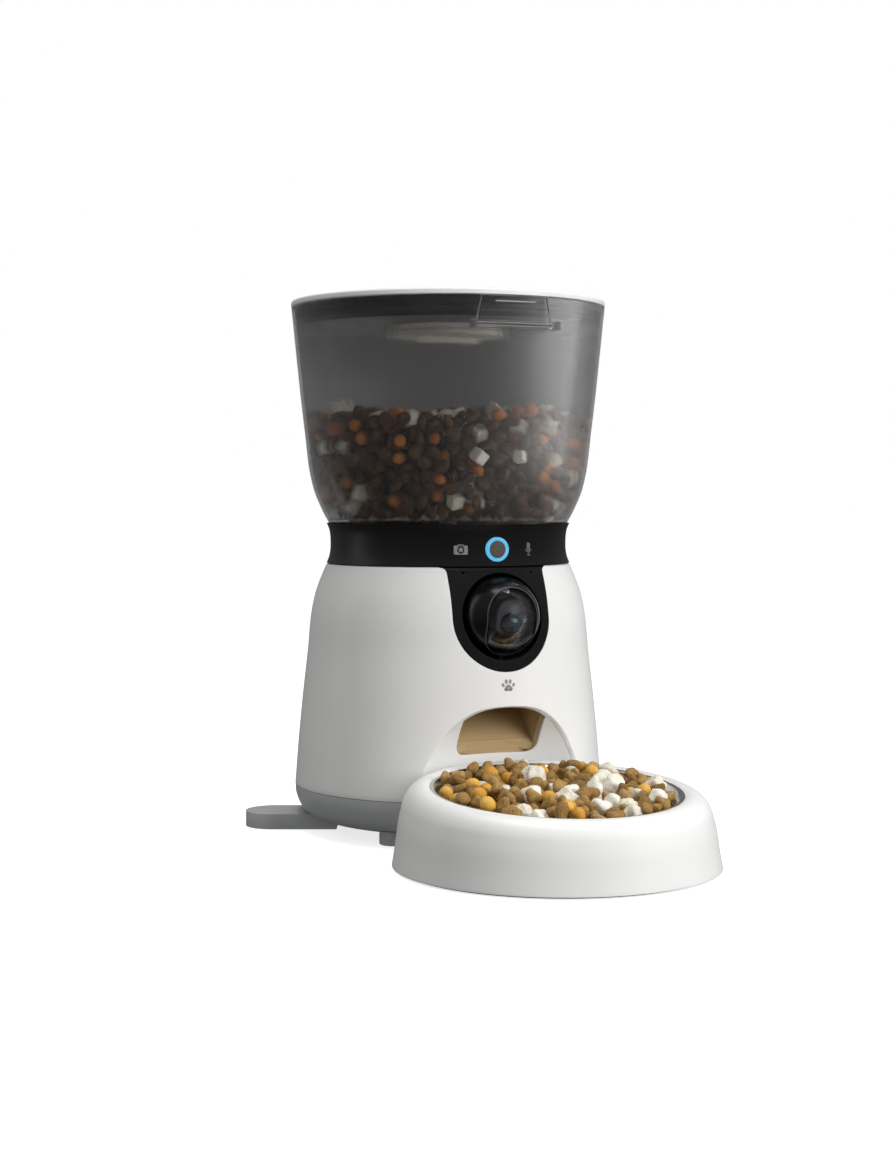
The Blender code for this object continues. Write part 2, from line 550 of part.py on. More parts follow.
def make_drive():
    towards_back = math.pi / 2
    output = gear("output_gear", OUTPUT_TEETH, towards_back, HIGH_GEAR_Z, 0.0, NYLON)
    cut(output, rod("cut_output_bore", SHAFT_RADIUS + 0.1 * MM, (0, AXIS_Y, 130 * MM),
                    (0, AXIS_Y, 160 * MM), None))

    idler_y = AXIS_Y + IDLER_Y
    pinion_gap = -towards_back + math.pi / IDLER_PINION_TEETH
    idler = gear("idler_gear", IDLER_WHEEL_TEETH, towards_back, LOW_GEAR_Z, IDLER_Y, NYLON)
    pinion = gear("join_idler_pinion", IDLER_PINION_TEETH, pinion_gap,
                  (LOW_GEAR_Z[1] - 1 * MM, HIGH_GEAR_Z[1]), IDLER_Y, None)
    join(idler, pinion)
    cut(idler, rod("cut_idler_bore", 1.8 * MM, (0, idler_y, 130 * MM), (0, idler_y, 160 * MM), None))
    rod("idler_pin", 1.5 * MM, (0, idler_y, HOUSING_Z[0] + GAP), (0, idler_y, HOUSING_Z[1] - 2.2 * MM),
        STEEL)

    motor_y = AXIS_Y + MOTOR_Y
    motor_gap = -towards_back + math.pi / MOTOR_TEETH
    pinion = gear("motor_pinion", MOTOR_TEETH, motor_gap, (139.8 * MM, 145.6 * MM), MOTOR_Y, STEEL)
    join(pinion, rod("join_motor_shaft", 1.5 * MM, (0, motor_y, 135.6 * MM), (0, motor_y, 147 * MM), None))
    can = [(0.0, 135.2 * MM), (11 * MM, 135.2 * MM), (12 * MM, 134 * MM), (12 * MM, 106 * MM),
           (5 * MM, 106 * MM), (5 * MM, 104 * MM), (0.0, 104 * MM)]
    turned("drive_motor", can, STEEL, (0, motor_y, 0), STEPS_MEDIUM)

    housing_mid = (HOUSING_Z[0] + HOUSING_Z[1]) / 2
    housing = plate("gearbox_housing", rounded(*HOUSING_SPAN_X, *HOUSING_SPAN_Y, 4 * MM),
                    HOUSING_Z[1] - HOUSING_Z[0], GREY_ABS, (0, AXIS_Y, housing_mid))
    inner_x = [edge - math.copysign(HOUSING_WALL, edge) for edge in HOUSING_SPAN_X]
    inner_y = [edge - math.copysign(HOUSING_WALL, edge) for edge in HOUSING_SPAN_Y]
    hollow = plate("cut_housing_hollow", rounded(*inner_x, *inner_y, 2.4 * MM), 18 * MM, None,
                   (0, AXIS_Y, HOUSING_Z[1] - 1.8 * MM - 9 * MM))
    shaft_hole = rod("cut_housing_shaft", SHAFT_RADIUS + GAP, (0, AXIS_Y, 150 * MM),
                     (0, AXIS_Y, 160 * MM), None)
    cut(housing, hollow, shaft_hole)

    cover = plate("gearbox_cover", rounded(*HOUSING_SPAN_X, *HOUSING_SPAN_Y, 4 * MM), 1.8 * MM, GREY_ABS,
                  (0, AXIS_Y, HOUSING_Z[0] - GAP - 0.9 * MM))
    cut(cover, rod("cut_cover_motor", 2.2 * MM, (0, motor_y, 130 * MM), (0, motor_y, 142 * MM), None))
    for number, (x, y) in enumerate(SCREW_PLACES, 1):
        post = turned(f"cut_post_{number}", filled([(2.8 * MM, HOUSING_Z[1] - 1.0 * MM),
                                                    (2.8 * MM, HOUSING_Z[0] + GAP)]),
                      None, (x, AXIS_Y + y, 0), STEPS_SMALL)
        pilot = rod(f"cut_pilot_{number}", 1.35 * MM, (x, AXIS_Y + y, 130 * MM),
                    (x, AXIS_Y + y, 150 * MM), None)
        join(housing, post)
        cut(housing, pilot)
        cut(cover, pilot)
        head_z = HOUSING_Z[0] - GAP - 1.8 * MM - GAP
        screw = [(0.0, head_z + 9 * MM), (1.05 * MM, head_z + 9 * MM), (1.05 * MM, head_z),
                 (2.4 * MM, head_z), (2.4 * MM, head_z - 1.4 * MM), (0.0, head_z - 1.4 * MM)]
        turned(f"gearbox_screw_{number}", screw, STEEL, (x, AXIS_Y + y, 0), STEPS_SMALL)


# ---------------------------------------------------------------- chute
def make_chute():
    """A bent duct from the chamber's outlet, behind the camera, down to the mouth."""
    wall = 2 * MM
    top = CHAMBER_FLOOR_Z - GAP
    front, back = OUTLET_FRONT, OUTLET_BACK
    outer = [(front - wall, top), (front - wall, 112 * MM), (-84 * MM, 82 * MM), (-84 * MM, 40.6 * MM),
             (-74 * MM, 46 * MM), (back + wall, 102 * MM), (back + wall, top)]
    inner = [(front, top + 9 * MM), (front, 111 * MM), (-90 * MM, 80 * MM - 4 * MM), (-90 * MM, 37 * MM),
             (back, 103 * MM), (back, top + 9 * MM)]
    half_width = OUTLET_HALF_WIDTH + 2.4 * MM
    chute = plate("chute", outer, 2 * (half_width + wall), NYLON, (0, AXIS_Y, 0), SIDE_VIEW)
    passage = plate("cut_chute_passage", inner, 2 * half_width, None, (0, AXIS_Y, 0), SIDE_VIEW)
    cut(chute, passage, alcove_cutter("cut_chute_alcove", 2 * MM + GAP))
    keep_inside(chute, body_envelope("keep_chute", WALL + 2 * GAP, 30 * MM, BODY_TOP_Z))


# ---------------------------------------------------------------- camera
def stadium(width, height, count=8):
    radius = width / 2
    straight = height / 2 - radius
    return arc((0, straight), radius, 0, 180, count) + arc((0, -straight), radius, 180, 360, count)


def ball_of(name, radius, mat, wall=0.0):
    """A sphere about the camera's centre, turned about the upright pan axis."""
    count = 10
    outline = [(radius * math.sin(math.pi * i / count), radius * math.cos(math.pi * i / count))
               for i in range(count + 1)]
    outline[0] = (0.0, radius)
    outline[-1] = (0.0, -radius)
    return turned(name, outline, mat, BALL_CENTRE, STEPS_MEDIUM, wall=wall)


def looking_down(x, forward, up):
    """A point in the camera's own frame, which looks down at the bowl."""
    return BALL_CENTRE + Matrix.Rotation(LOOK_DOWN, 3, "X") @ Vector((x, -forward, up))


def below_ball(distance):
    return BALL_CENTRE - Vector((0, 0, distance))


def make_camera():
    look = (math.pi / 2 + LOOK_DOWN, 0, 0)
    ball = ball_of("camera_ball", BALL_RADIUS, GLOSS_BLACK, BALL_WALL)
    opening = plate("cut_ball_window", stadium(*WINDOW_SIZE), 24 * MM, None, looking_down(0, 20 * MM, 0),
                    look)
    spindle_hole = rod("cut_ball_spindle", 2.3 * MM, below_ball(30 * MM), BALL_CENTRE, None)
    cut(ball, opening, spindle_hole)

    glass = ball_of("camera_window", BALL_RADIUS - 0.5 * MM, LENS_GLASS, 1.2 * MM)
    shape = stadium(WINDOW_SIZE[0] - 2 * GAP, WINDOW_SIZE[1] - 2 * GAP)
    keep_inside(glass, plate("keep_window", shape, 20 * MM, None, looking_down(0, 18 * MM, 0), look))

    spindle = rod("pan_spindle", 2 * MM, below_ball(30.2 * MM), below_ball(21 * MM), STEEL)
    joint_point("camera_pan_axis", BALL_CENTRE, ball, glass, spindle)

    outline = rounded(-9 * MM, 9 * MM, -9 * MM, 13.4 * MM, 8.6 * MM, 6)
    carrier = plate("lens_carrier", outline, 3 * MM, GREY_ABS, looking_down(0, 12.4 * MM, 0), look)
    axle = rod("join_carrier_axle", 2 * MM, BALL_CENTRE - Vector((17 * MM, 0, 0)),
               BALL_CENTRE + Vector((17 * MM, 0, 0)), None)
    arm = box("join_carrier_arm", (8 * MM, 14 * MM, 8 * MM), looking_down(0, 6 * MM, 0), None)
    arm.rotation_euler = (LOOK_DOWN, 0, 0)
    join(carrier, arm, axle)
    barrel = rod("lens_barrel", 6.2 * MM, looking_down(0, 14.2 * MM, 0), looking_down(0, 16.6 * MM, 0),
                 GLOSS_BLACK, STEPS_MEDIUM)
    dome = [(0.0, 1.9 * MM), (2.6 * MM, 1.5 * MM), (4.4 * MM, 0.6 * MM), (4.9 * MM, 0.0), (0.0, 0.0)]
    lens = turned("lens", dome, LENS_GLASS, looking_down(0, 16.9 * MM, 0), STEPS_MEDIUM, rotation=look)
    joint_point("camera_tilt_axis", BALL_CENTRE, carrier, barrel, lens)

    cup_count = 5
    depth = [(SOCKET_RADIUS * math.cos(math.pi / 2 * i / cup_count),
              -SOCKET_RADIUS * math.sin(math.pi / 2 * i / cup_count)) for i in range(cup_count + 1)]
    depth[-1] = (0.0, -SOCKET_RADIUS)
    cup = turned("camera_socket", [(SOCKET_RADIUS, 16 * MM)] + depth, BLACK_ABS, BALL_CENTRE, STEPS_MEDIUM,
                 wall=SOCKET_WALL, offset=1.0, rotation=FRONT_VIEW)
    keep_inside(cup, body_envelope("keep_socket", 5.2 * MM, 90 * MM, 160 * MM))
    cut(cup, rod("cut_socket_spindle", 2.6 * MM, below_ball(34 * MM), BALL_CENTRE, None))
    rod("pan_motor", 7.5 * MM, below_ball(38.6 * MM), below_ball(30.8 * MM), STEEL, STEPS_MEDIUM)


# ---------------------------------------------------------------- electrics
def make_electrics():
    box("main_board", (66 * MM, 1.6 * MM, 56 * MM), at(0, 5.6 * MM, 84 * MM), BOARD)
    cone = [(0.0, 5 * MM), (14 * MM, 5 * MM), (18 * MM, 3 * MM), (18 * MM, 0.0), (10 * MM, -6 * MM),
            (0.0, -6 * MM)]
    turned("speaker", cone, BLACK_ABS, at(66 * MM, -10 * MM, 92 * MM), STEPS_MEDIUM,
           rotation=(0, math.pi / 2, 0))
    for number in range(3):
        x = (number - 1) * CELL_PITCH
        rod(f"battery_cell_{number + 1}", CELL_RADIUS, at(x, 2 * MM, CELL_Z),
            at(x, 2 * MM - CELL_LENGTH, CELL_Z), CELL_JACKET, 24)
    door = plate("battery_door", rounded(DOOR_SPAN_X[0] + GAP, DOOR_SPAN_X[1] - GAP, DOOR_SPAN_Y[0] + GAP,
                                         DOOR_SPAN_Y[1] - GAP, 3 * MM), 2 * MM, GREY_ABS,
                 (0, AXIS_Y, FOOT_Z + 1.2 * MM))
    joint_point("battery_door_slide", (0, AXIS_Y, FOOT_Z), door)

    socket_profile = [(3.2 * MM, 0.0), (5.8 * MM, 0.0), (5.8 * MM, -12 * MM), (0.0, -12 * MM)]
    pin_profile = [(0.0, -1.5 * MM), (1 * MM, -1.5 * MM), (1 * MM, -9.5 * MM), (3.2 * MM, -9.5 * MM)]
    turned("power_socket", pin_profile + socket_profile, BLACK_ABS, at(0, -92.6 * MM, INLET_Z), 24,
           rotation=(-math.pi / 2, 0, 0))
    reset = [(0.0, 0.6 * MM), (RESET_RADIUS - 0.4 * MM, 0.6 * MM), (RESET_RADIUS, 0.0),
             (RESET_RADIUS, -6 * MM), (0.0, -6 * MM)]
    turned("reset_button", reset, GREY_ABS, at(RESET_X, -88.8 * MM, INLET_Z), 24,
           rotation=(-math.pi / 2, 0, 0))


# ---------------------------------------------------------------- feet and stabilisers
def make_feet():
    for side, word in ((-1, "left"), (1, "right")):
        outline = (arc((0, 0), STABILISER_WIDTH / 2, -90, 90, 12)
                   + [(-STABILISER_TAIL, STABILISER_WIDTH / 2), (-STABILISER_TAIL, -STABILISER_WIDTH / 2)])
        tip = STABILISER_REACH - STABILISER_WIDTH / 2
        turn = STABILISER_ANGLE if side > 0 else math.pi - STABILISER_ANGLE
        away = Vector((math.cos(turn), math.sin(turn), 0))
        plate_at = Vector((0, AXIS_Y, STABILISER_HEIGHT / 2)) + tip * away
        arm = plate(f"stabiliser_{word}", outline, STABILISER_HEIGHT, GREY_ABS, plate_at, (0, 0, turn))
        cut(arm, base_outside(f"cut_stabiliser_{word}"))
        for place, degrees in FOOT_ANGLES:
            turn = math.radians(degrees)
            spot = at(side * FOOT_SPREAD * math.sin(turn), FOOT_SPREAD * math.cos(turn), 0)
            foot = rod(f"{place}_foot_{word}", FOOT_RADIUS, spot, spot + Vector((0, 0, 10 * MM)), SILICONE,
                       STEPS_MEDIUM)
            cut(foot, base_outside(f"cut_{place}_foot_{word}"))


# ---------------------------------------------------------------- bowl and holder
def lean_top(obj, middle_y, full_height):
    """Lower the front and raise the back in proportion to height, keeping the base flat."""
    solid = as_mesh(obj)
    slope = math.tan(RIM_TILT) / full_height
    for vert in solid.data.vertices:
        world = solid.matrix_world @ vert.co
        vert.co.z += world.z * slope * (world.y - middle_y)
    return solid


def make_bowl():
    holder = turned("bowl_holder", in_mm(HOLDER_PROFILE), WHITE_ABS, (0, BOWL_Y, 0), wall=2.2 * MM)
    holder = lean_top(holder, BOWL_Y, HOLDER_TOP_Z)
    foot = [(78 * MM, 4 * MM), (86.4 * MM, 4 * MM), (87.0 * MM, 0.0), (78 * MM, 0.0), (78 * MM, 4 * MM)]
    foot_ring = turned("bowl_foot_ring", foot, SILICONE, (0, BOWL_Y, 0))
    join(holder, box("join_holder_tongue", (36 * MM, 18 * MM, 6 * MM), at(0, 54.4 * MM, 15 * MM), None))
    joint_point("bowl_holder_slide", (0, BOWL_Y, 0), holder, foot_ring)

    side = [(RIM_RADIUS, -1.2 * MM), (RIM_RADIUS, 0.2 * MM), (67.8 * MM, 0.5 * MM), (64.4 * MM, -4 * MM),
            (60.0 * MM, -14 * MM), (53 * MM, -22.4 * MM), (43 * MM, -26 * MM), (0.0, -BOWL_DEPTH)]
    turned("steel_bowl", side[::-1], STEEL, (0, BOWL_Y, BOWL_SEAT_Z), wall=BOWL_STEEL, offset=-1.0,
           rotation=(RIM_TILT, 0, 0))


make_body()
make_band()
make_hopper()
make_lid()
make_chamber()
make_drive()
make_chute()
make_camera()
make_electrics()
make_feet()
make_bowl()
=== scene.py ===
"""Finishes, fine surfaces and food for an automatic pet feeder with a camera.

Metres, +Z up, the front towards -Y.  Places come from the frame; outlines are in millimetres,
as radius and height about the feeder's or the bowl's upright axis.
"""

import json
import math
import random

import bmesh
import bpy
from mathutils import Matrix, Vector


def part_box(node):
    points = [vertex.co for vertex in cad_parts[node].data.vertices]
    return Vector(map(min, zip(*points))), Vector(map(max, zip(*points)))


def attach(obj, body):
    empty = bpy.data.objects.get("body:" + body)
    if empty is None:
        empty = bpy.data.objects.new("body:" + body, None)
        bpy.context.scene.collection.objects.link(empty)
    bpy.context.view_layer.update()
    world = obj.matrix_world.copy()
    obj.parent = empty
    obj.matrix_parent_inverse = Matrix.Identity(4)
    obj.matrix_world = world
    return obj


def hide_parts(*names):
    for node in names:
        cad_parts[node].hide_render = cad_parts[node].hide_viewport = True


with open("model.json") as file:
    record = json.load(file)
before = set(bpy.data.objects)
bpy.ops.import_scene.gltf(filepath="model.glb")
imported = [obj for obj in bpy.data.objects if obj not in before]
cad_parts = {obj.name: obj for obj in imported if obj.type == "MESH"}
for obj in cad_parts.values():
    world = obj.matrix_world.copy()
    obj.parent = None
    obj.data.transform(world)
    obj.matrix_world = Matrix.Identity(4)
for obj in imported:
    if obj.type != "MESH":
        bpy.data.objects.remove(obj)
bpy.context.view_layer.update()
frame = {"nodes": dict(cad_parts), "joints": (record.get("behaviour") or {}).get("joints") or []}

MM = 0.001
FOOD_SHOWN = True
CHOOSE = random.Random(11)          # seeded, so the food falls the same way every time
NODES = frame["nodes"]
JOINTS = {joint["name"]: joint for joint in frame["joints"]}


def middle(node):
    low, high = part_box(node)
    return (Vector(low) + Vector(high)) / 2


AXIS = Vector((middle("lid_cover").x, middle("lid_cover").y, 0.0))
BOWL = Vector((middle("bowl_foot_ring").x, middle("bowl_foot_ring").y, 0.0))
BALL = Vector(JOINTS["camera_pan"]["pos_m"])
LATCH = Vector(JOINTS["lid_latch_turn"]["pos_m"])
BUTTON_HEIGHT = middle("light_ring").z / MM
BALL_HEIGHT = BALL.z / MM
DISH = BOWL + Vector((0, 0, 0.041))     # middle of the steel bowl's rim
LID_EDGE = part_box("lid_cover")[0][2] / MM
RIM_LEAN = math.radians(4.3)            # the bowl's rim is lower at the front
LOOK_DOWN = math.radians(13)            # the camera's window and lens look down at the bowl
FRONT = Matrix.Rotation(math.pi / 2, 4, "X")      # lays a flat outline upright, facing front
LEAN = Matrix.Rotation(RIM_LEAN, 4, "X")


# ================================================================ finishes
def srgb(code, alpha=1.0):
    """A hex colour as linear RGB."""
    parts = [int(code[i:i + 2], 16) / 255 for i in (1, 3, 5)]
    return (*[p / 12.92 if p <= 0.04045 else ((p + 0.055) / 1.055) ** 2.4 for p in parts], alpha)


def add(tree, kind, links=None, **settings):
    """Add one node: settings are its own properties, links its inputs' values or sources."""
    made = tree.nodes.new(kind)
    for key, value in settings.items():
        setattr(made, key, value)
    for key, value in (links or {}).items():
        if isinstance(value, bpy.types.NodeSocket):
            tree.links.new(value, made.inputs[key])
        else:
            made.inputs[key].default_value = value
    return made


def new_finish(name, **sockets):
    """A material with one Principled shader; returns it, its tree and its shader."""
    mat = bpy.data.materials.new(name)
    mat.use_nodes = True
    tree = mat.node_tree
    shader = tree.nodes["Principled BSDF"]
    for key, value in sockets.items():
        shader.inputs[key.replace("_", " ")].default_value = value
    return mat, tree, shader


def grains(mm):
    """Noise scale for a pattern whose features are this many millimetres across."""
    return 1000.0 / mm


def rings_apart(mm):
    """Wave scale for rings this many millimetres apart."""
    return math.pi / 10 * grains(mm)


def surface_noise(tree, mm, detail=2.0, roughness=0.5):
    """Smooth noise fixed to the piece, its features about this many millimetres across."""
    where = add(tree, "ShaderNodeTexCoord").outputs["Object"]
    return add(tree, "ShaderNodeTexNoise", {"Vector": where, "Scale": grains(mm), "Detail": detail,
                                            "Roughness": roughness}).outputs["Fac"]


def mottle(tree, shader, fac, dark, light, socket="Base Color"):
    """Drive a colour between two near tones."""
    ramp = add(tree, "ShaderNodeValToRGB", {"Fac": fac})
    ramp.color_ramp.elements[0].color = dark
    ramp.color_ramp.elements[0].position = 0.3
    ramp.color_ramp.elements[1].color = light
    ramp.color_ramp.elements[1].position = 0.7
    tree.links.new(ramp.outputs["Color"], shader.inputs[socket])


def vary_gloss(tree, shader, fac, low, high):
    """Drive the roughness between two near values."""
    span = add(tree, "ShaderNodeMapRange", {"Value": fac, "To Min": low, "To Max": high})
    tree.links.new(span.outputs["Result"], shader.inputs["Roughness"])


def relief(tree, shader, fac, depth_mm, strength=1.0):
    """Raise the surface by a pattern of this depth."""
    bump = add(tree, "ShaderNodeBump", {"Height": fac, "Distance": depth_mm * MM, "Strength": strength})
    tree.links.new(bump.outputs["Normal"], shader.inputs["Normal"])


def moulded_plastic(name, dark, light, gloss, skin_mm=0.55, depth_mm=0.012, **sockets):
    """Injection-moulded plastic: the tool's spark-eroded skin breaks up highlights very softly."""
    mat, tree, shader = new_finish(name, IOR=1.5, **sockets)
    mottle(tree, shader, surface_noise(tree, 60), srgb(dark), srgb(light))
    vary_gloss(tree, shader, surface_noise(tree, 25, 3), gloss - 0.04, gloss + 0.04)
    relief(tree, shader, surface_noise(tree, skin_mm, 1), depth_mm)
    return mat


def frosted_polycarbonate(name, tint, gloss, clear, milk):
    """Smoke-tinted polycarbonate: what lies behind it shows, softened by its etched skin, and the
    skin itself carries a grey bloom where light falls on it."""
    mat, tree, shader = new_finish(name, IOR=1.12, Transmission_Weight=1 - milk, Alpha=1 - clear,
                                   Coat_Weight=0.6, Coat_Roughness=0.48, Coat_IOR=1.5)
    mottle(tree, shader, surface_noise(tree, 120), srgb(tint[0]), srgb(tint[1]))
    vary_gloss(tree, shader, surface_noise(tree, 60, 1), gloss, gloss + 0.03)
    return mat


def smoke_with_painted_highlight():
    """The same smoke polycarbonate, polished on cut edges and painted a lighter grey than the hopper's smoke:
    a painted highlight along the latch's rims.
    """
    mat, tree, shader = new_finish("smoke polycarbonate, polished, painted highlight", IOR=1.55, Transmission_Weight=0.5)
    mottle(tree, shader, surface_noise(tree, 20), srgb("#B4B4B4"), srgb("#C2C2C2"))
    vary_gloss(tree, shader, surface_noise(tree, 8), 0.10, 0.18)
    return mat


def spun_stainless():
    """Stainless steel, pressed and spun: fine rings round the bowl draw the highlights out.
    The rings are half a millimetre apart."""
    mat, tree, shader = new_finish("stainless steel, spun", Metallic=1.0)
    where = add(tree, "ShaderNodeTexCoord").outputs["Object"]
    rings = add(tree, "ShaderNodeTexWave", {"Vector": where, "Scale": rings_apart(0.5), "Distortion": 1.5,
                                            "Detail": 2.0}, wave_type="RINGS", rings_direction="Z")
    mottle(tree, shader, surface_noise(tree, 35, 3), srgb("#B9B8B5"), srgb("#CFCECB"))
    vary_gloss(tree, shader, rings.outputs["Fac"], 0.13, 0.24)
    relief(tree, shader, rings.outputs["Fac"], 0.004)
    return mat


def turned_steel():
    """Plated steel of shafts, screws and motor cans, with a rolled grain."""
    mat, tree, shader = new_finish("zinc-plated steel", Metallic=1.0)
    mottle(tree, shader, surface_noise(tree, 6, 3), srgb("#A9A9A6"), srgb("#C4C4C0"))
    vary_gloss(tree, shader, surface_noise(tree, 1.5, 4), 0.24, 0.42)
    return mat


def silicone(name, dark, light):
    """Moulded silicone rubber: soft, dusty, with no sharp highlight."""
    mat, tree, shader = new_finish(name, IOR=1.41, Sheen_Weight=0.15)
    mottle(tree, shader, surface_noise(tree, 14, 4), srgb(dark), srgb(light))
    vary_gloss(tree, shader, surface_noise(tree, 5, 3), 0.62, 0.78)
    relief(tree, shader, surface_noise(tree, 0.8, 2), 0.02)
    return mat


def lit_diffuser():
    """Milky acrylic with LEDs behind it: an even cold blue glow, a little hotter in places."""
    mat, tree, shader = new_finish("opal acrylic, lit", Roughness=0.4, Emission_Strength=0.8)
    mottle(tree, shader, surface_noise(tree, 4), srgb("#1C4C66"), srgb("#235A78"))
    mottle(tree, shader, surface_noise(tree, 4), srgb("#62C4F2"), srgb("#70CCF6"), "Emission Color")
    return mat


def ringed_button():
    """Grey-brown ABS cap, turned in the tool with rings a thumb can feel, drawn as coarse as they need to be
    to show; the grooves are painted dark and the crests light, painted shade and highlight on the rings."""
    mat, tree, shader = new_finish("ABS, ring-textured", IOR=1.5)
    where = add(tree, "ShaderNodeTexCoord").outputs["Object"]
    rings = add(tree, "ShaderNodeTexWave", {"Vector": where, "Scale": rings_apart(1.3)},
                wave_type="RINGS", rings_direction="Z")
    # painted shade and highlight: the colour is dark in the ring grooves and light on the crests
    mottle(tree, shader, rings.outputs["Fac"], srgb("#1E1B19"), srgb("#78716B"))
    vary_gloss(tree, shader, surface_noise(tree, 2), 0.38, 0.5)
    relief(tree, shader, rings.outputs["Fac"], 0.06)
    return mat


def printed_ink(name, dark, light):
    """Pad-printed ink, a few hundredths of a millimetre thick, slightly uneven in cover."""
    mat, tree, shader = new_finish(name, IOR=1.5)
    mottle(tree, shader, surface_noise(tree, 1.2, 3), srgb(dark), srgb(light))
    vary_gloss(tree, shader, surface_noise(tree, 3), 0.4, 0.55)
    return mat


def coated_lens():
    """Optical glass with an anti-reflection coating, which tints its highlights blue-green; its colour is
    also painted from near black face-on to teal where it turns away, a painted reflection of the coating's
    glint.
    """
    mat, tree, shader = new_finish("optical glass, coated, painted teal rim", IOR=1.52, Roughness=0.03, Coat_Weight=1.0,
                                   Coat_Roughness=0.02)
    shader.inputs["Coat Tint"].default_value = srgb("#BFEFEA")
    # painted reflection: the base colour turns teal towards the lens's grazing rim
    facing = add(tree, "ShaderNodeLayerWeight", {"Blend": 0.35}).outputs["Facing"]
    mottle(tree, shader, facing, srgb("#020708"), srgb("#1C8784"))
    return mat


def window_acrylic():
    """Clear acrylic window over the lens, tinted dark so that the works behind it only just show."""
    mat, tree, shader = new_finish("acrylic, dark tint", IOR=1.49, Transmission_Weight=1.0, Alpha=0.55)
    mottle(tree, shader, surface_noise(tree, 30), srgb("#A4A4A8"), srgb("#ACACB0"))
    vary_gloss(tree, shader, surface_noise(tree, 20), 0.0, 0.03)
    return mat


def solder_mask():
    """Circuit board: green resist over copper, with the weave of the glass cloth just showing."""
    mat, tree, shader = new_finish("circuit board, solder mask", IOR=1.5, Coat_Weight=0.3)
    where = add(tree, "ShaderNodeTexCoord").outputs["Object"]
    tracks = add(tree, "ShaderNodeTexBrick", {"Vector": where, "Scale": 90.0, "Mortar Size": 0.012,
                                              "Color1": srgb("#12522C"), "Color2": srgb("#165C33"),
                                              "Mortar": srgb("#2F7F4A")})
    tree.links.new(tracks.outputs["Color"], shader.inputs["Base Color"])
    vary_gloss(tree, shader, surface_noise(tree, 1.0), 0.3, 0.45)
    return mat


def baked_food(name, tones, pit_mm=1.1, depth_mm=0.5, gloss=0.6, pit_painted_shade=0.5):
    """Extruded, dried pet food: porous and dusty, each piece its own tone between pale and dark, its pits
    painted darker as shade and its crests a little lighter.
    """
    mat, tree, shader = new_finish(name, IOR=1.45, Subsurface_Weight=0.08)
    shader.inputs["Subsurface Radius"].default_value = (0.002, 0.0012, 0.0007)
    piece = add(tree, "ShaderNodeNewGeometry").outputs["Random Per Island"]
    ramp = add(tree, "ShaderNodeValToRGB", {"Fac": piece})
    while len(ramp.color_ramp.elements) < len(tones):
        ramp.color_ramp.elements.new(0.5)
    for number, tone in enumerate(tones):
        ramp.color_ramp.elements[number].position = number / (len(tones) - 1)
        ramp.color_ramp.elements[number].color = srgb(tone)
    pits = surface_noise(tree, pit_mm, 4, 0.6)
    # painted shade: the colour is darker in the pits and a little lighter on the crests
    shade = add(tree, "ShaderNodeMapRange", {"Value": pits, "From Min": 0.3, "From Max": 0.7,
                                             "To Min": pit_painted_shade, "To Max": 1.12})
    toned = add(tree, "ShaderNodeVectorMath", {0: ramp.outputs["Color"], "Scale": shade.outputs["Result"]},
                operation="SCALE")
    tree.links.new(toned.outputs[0], shader.inputs["Base Color"])
    vary_gloss(tree, shader, pits, gloss - 0.08, gloss + 0.1)
    relief(tree, shader, pits, depth_mm, 0.8)
    return mat


def printed_sleeve():
    """Shrink sleeve of a dry cell: satin dark film with a plain band at one end."""
    mat, tree, shader = new_finish("shrink film, printed", IOR=1.5, Metallic=0.2)
    where = add(tree, "ShaderNodeTexCoord").outputs["Object"]
    along = add(tree, "ShaderNodeSeparateXYZ", {"Vector": where}).outputs["Y"]
    band = middle("battery_cell_1").y + 14 * MM
    edge = add(tree, "ShaderNodeMapRange", {"Value": along, "From Min": band - 0.5 * MM,
                                            "From Max": band + 0.5 * MM})
    mottle(tree, shader, edge.outputs["Result"], srgb("#23252A"), srgb("#B8743A"))
    vary_gloss(tree, shader, surface_noise(tree, 4), 0.25, 0.38)
    return mat


WHITE = moulded_plastic("ABS, white, fine satin", "#EFEFED", "#F4F4F2", 0.34)
BASE_GREY = moulded_plastic("ABS, light grey, satin", "#B9BBBB", "#C2C4C4", 0.42)
DARK_GREY = moulded_plastic("ABS, grey, matt", "#6C6E70", "#77797B", 0.5)
BLACK = moulded_plastic("ABS, black, satin", "#0B0B0C", "#111112", 0.38)
GLOSS = moulded_plastic("ABS, black, half-polished", "#050506", "#09090A", 0.24, 0.9, 0.003)
GRAPHITE = moulded_plastic("ABS, graphite, satin", "#48494E", "#505157", 0.42)
SMOKE = frosted_polycarbonate("smoke polycarbonate, frosted", ("#8E8D8C", "#969594"), 0.2, 0.32, 0.035)
SMOKE_CLEAR = frosted_polycarbonate("smoke polycarbonate, clear", ("#B4B3B2", "#BCBBBA"), 0.06, 0.9, 0.02)
SMOKE_EDGE_PAINTED_HIGHLIGHT = smoke_with_painted_highlight()
STEEL = spun_stainless()
PLATED = turned_steel()
SEAL = silicone("silicone, black", "#0B0B0C", "#171718")
GREY_RUBBER = silicone("silicone, light grey", "#A7A9A9", "#B5B7B7")
LIT = lit_diffuser()
CAP = ringed_button()
ICON_INK = printed_ink("pad-printing ink, grey", "#7C7C7C", "#9A9A9A")
MARK_INK = printed_ink("pad-printing ink, mid grey", "#8F8F8F", "#A2A2A2")
LENS = coated_lens()
WINDOW = window_acrylic()
BOARD = solder_mask()
BEIGE = moulded_plastic("ABS, beige, satin", "#B99D74", "#C4A97F", 0.4)
NYLON = moulded_plastic("polyamide, natural", "#DCD8CB", "#E6E2D6", 0.45, 1.5, 0.02)
PAPER_WHITE = moulded_plastic("polypropylene, white", "#E4E4E0", "#ECECE8", 0.4)
SLEEVE = printed_sleeve()
BROWN_FOOD = baked_food("extruded kibble, brown", ["#8E6834", "#AC8648", "#C29C5E", "#9A743C"])
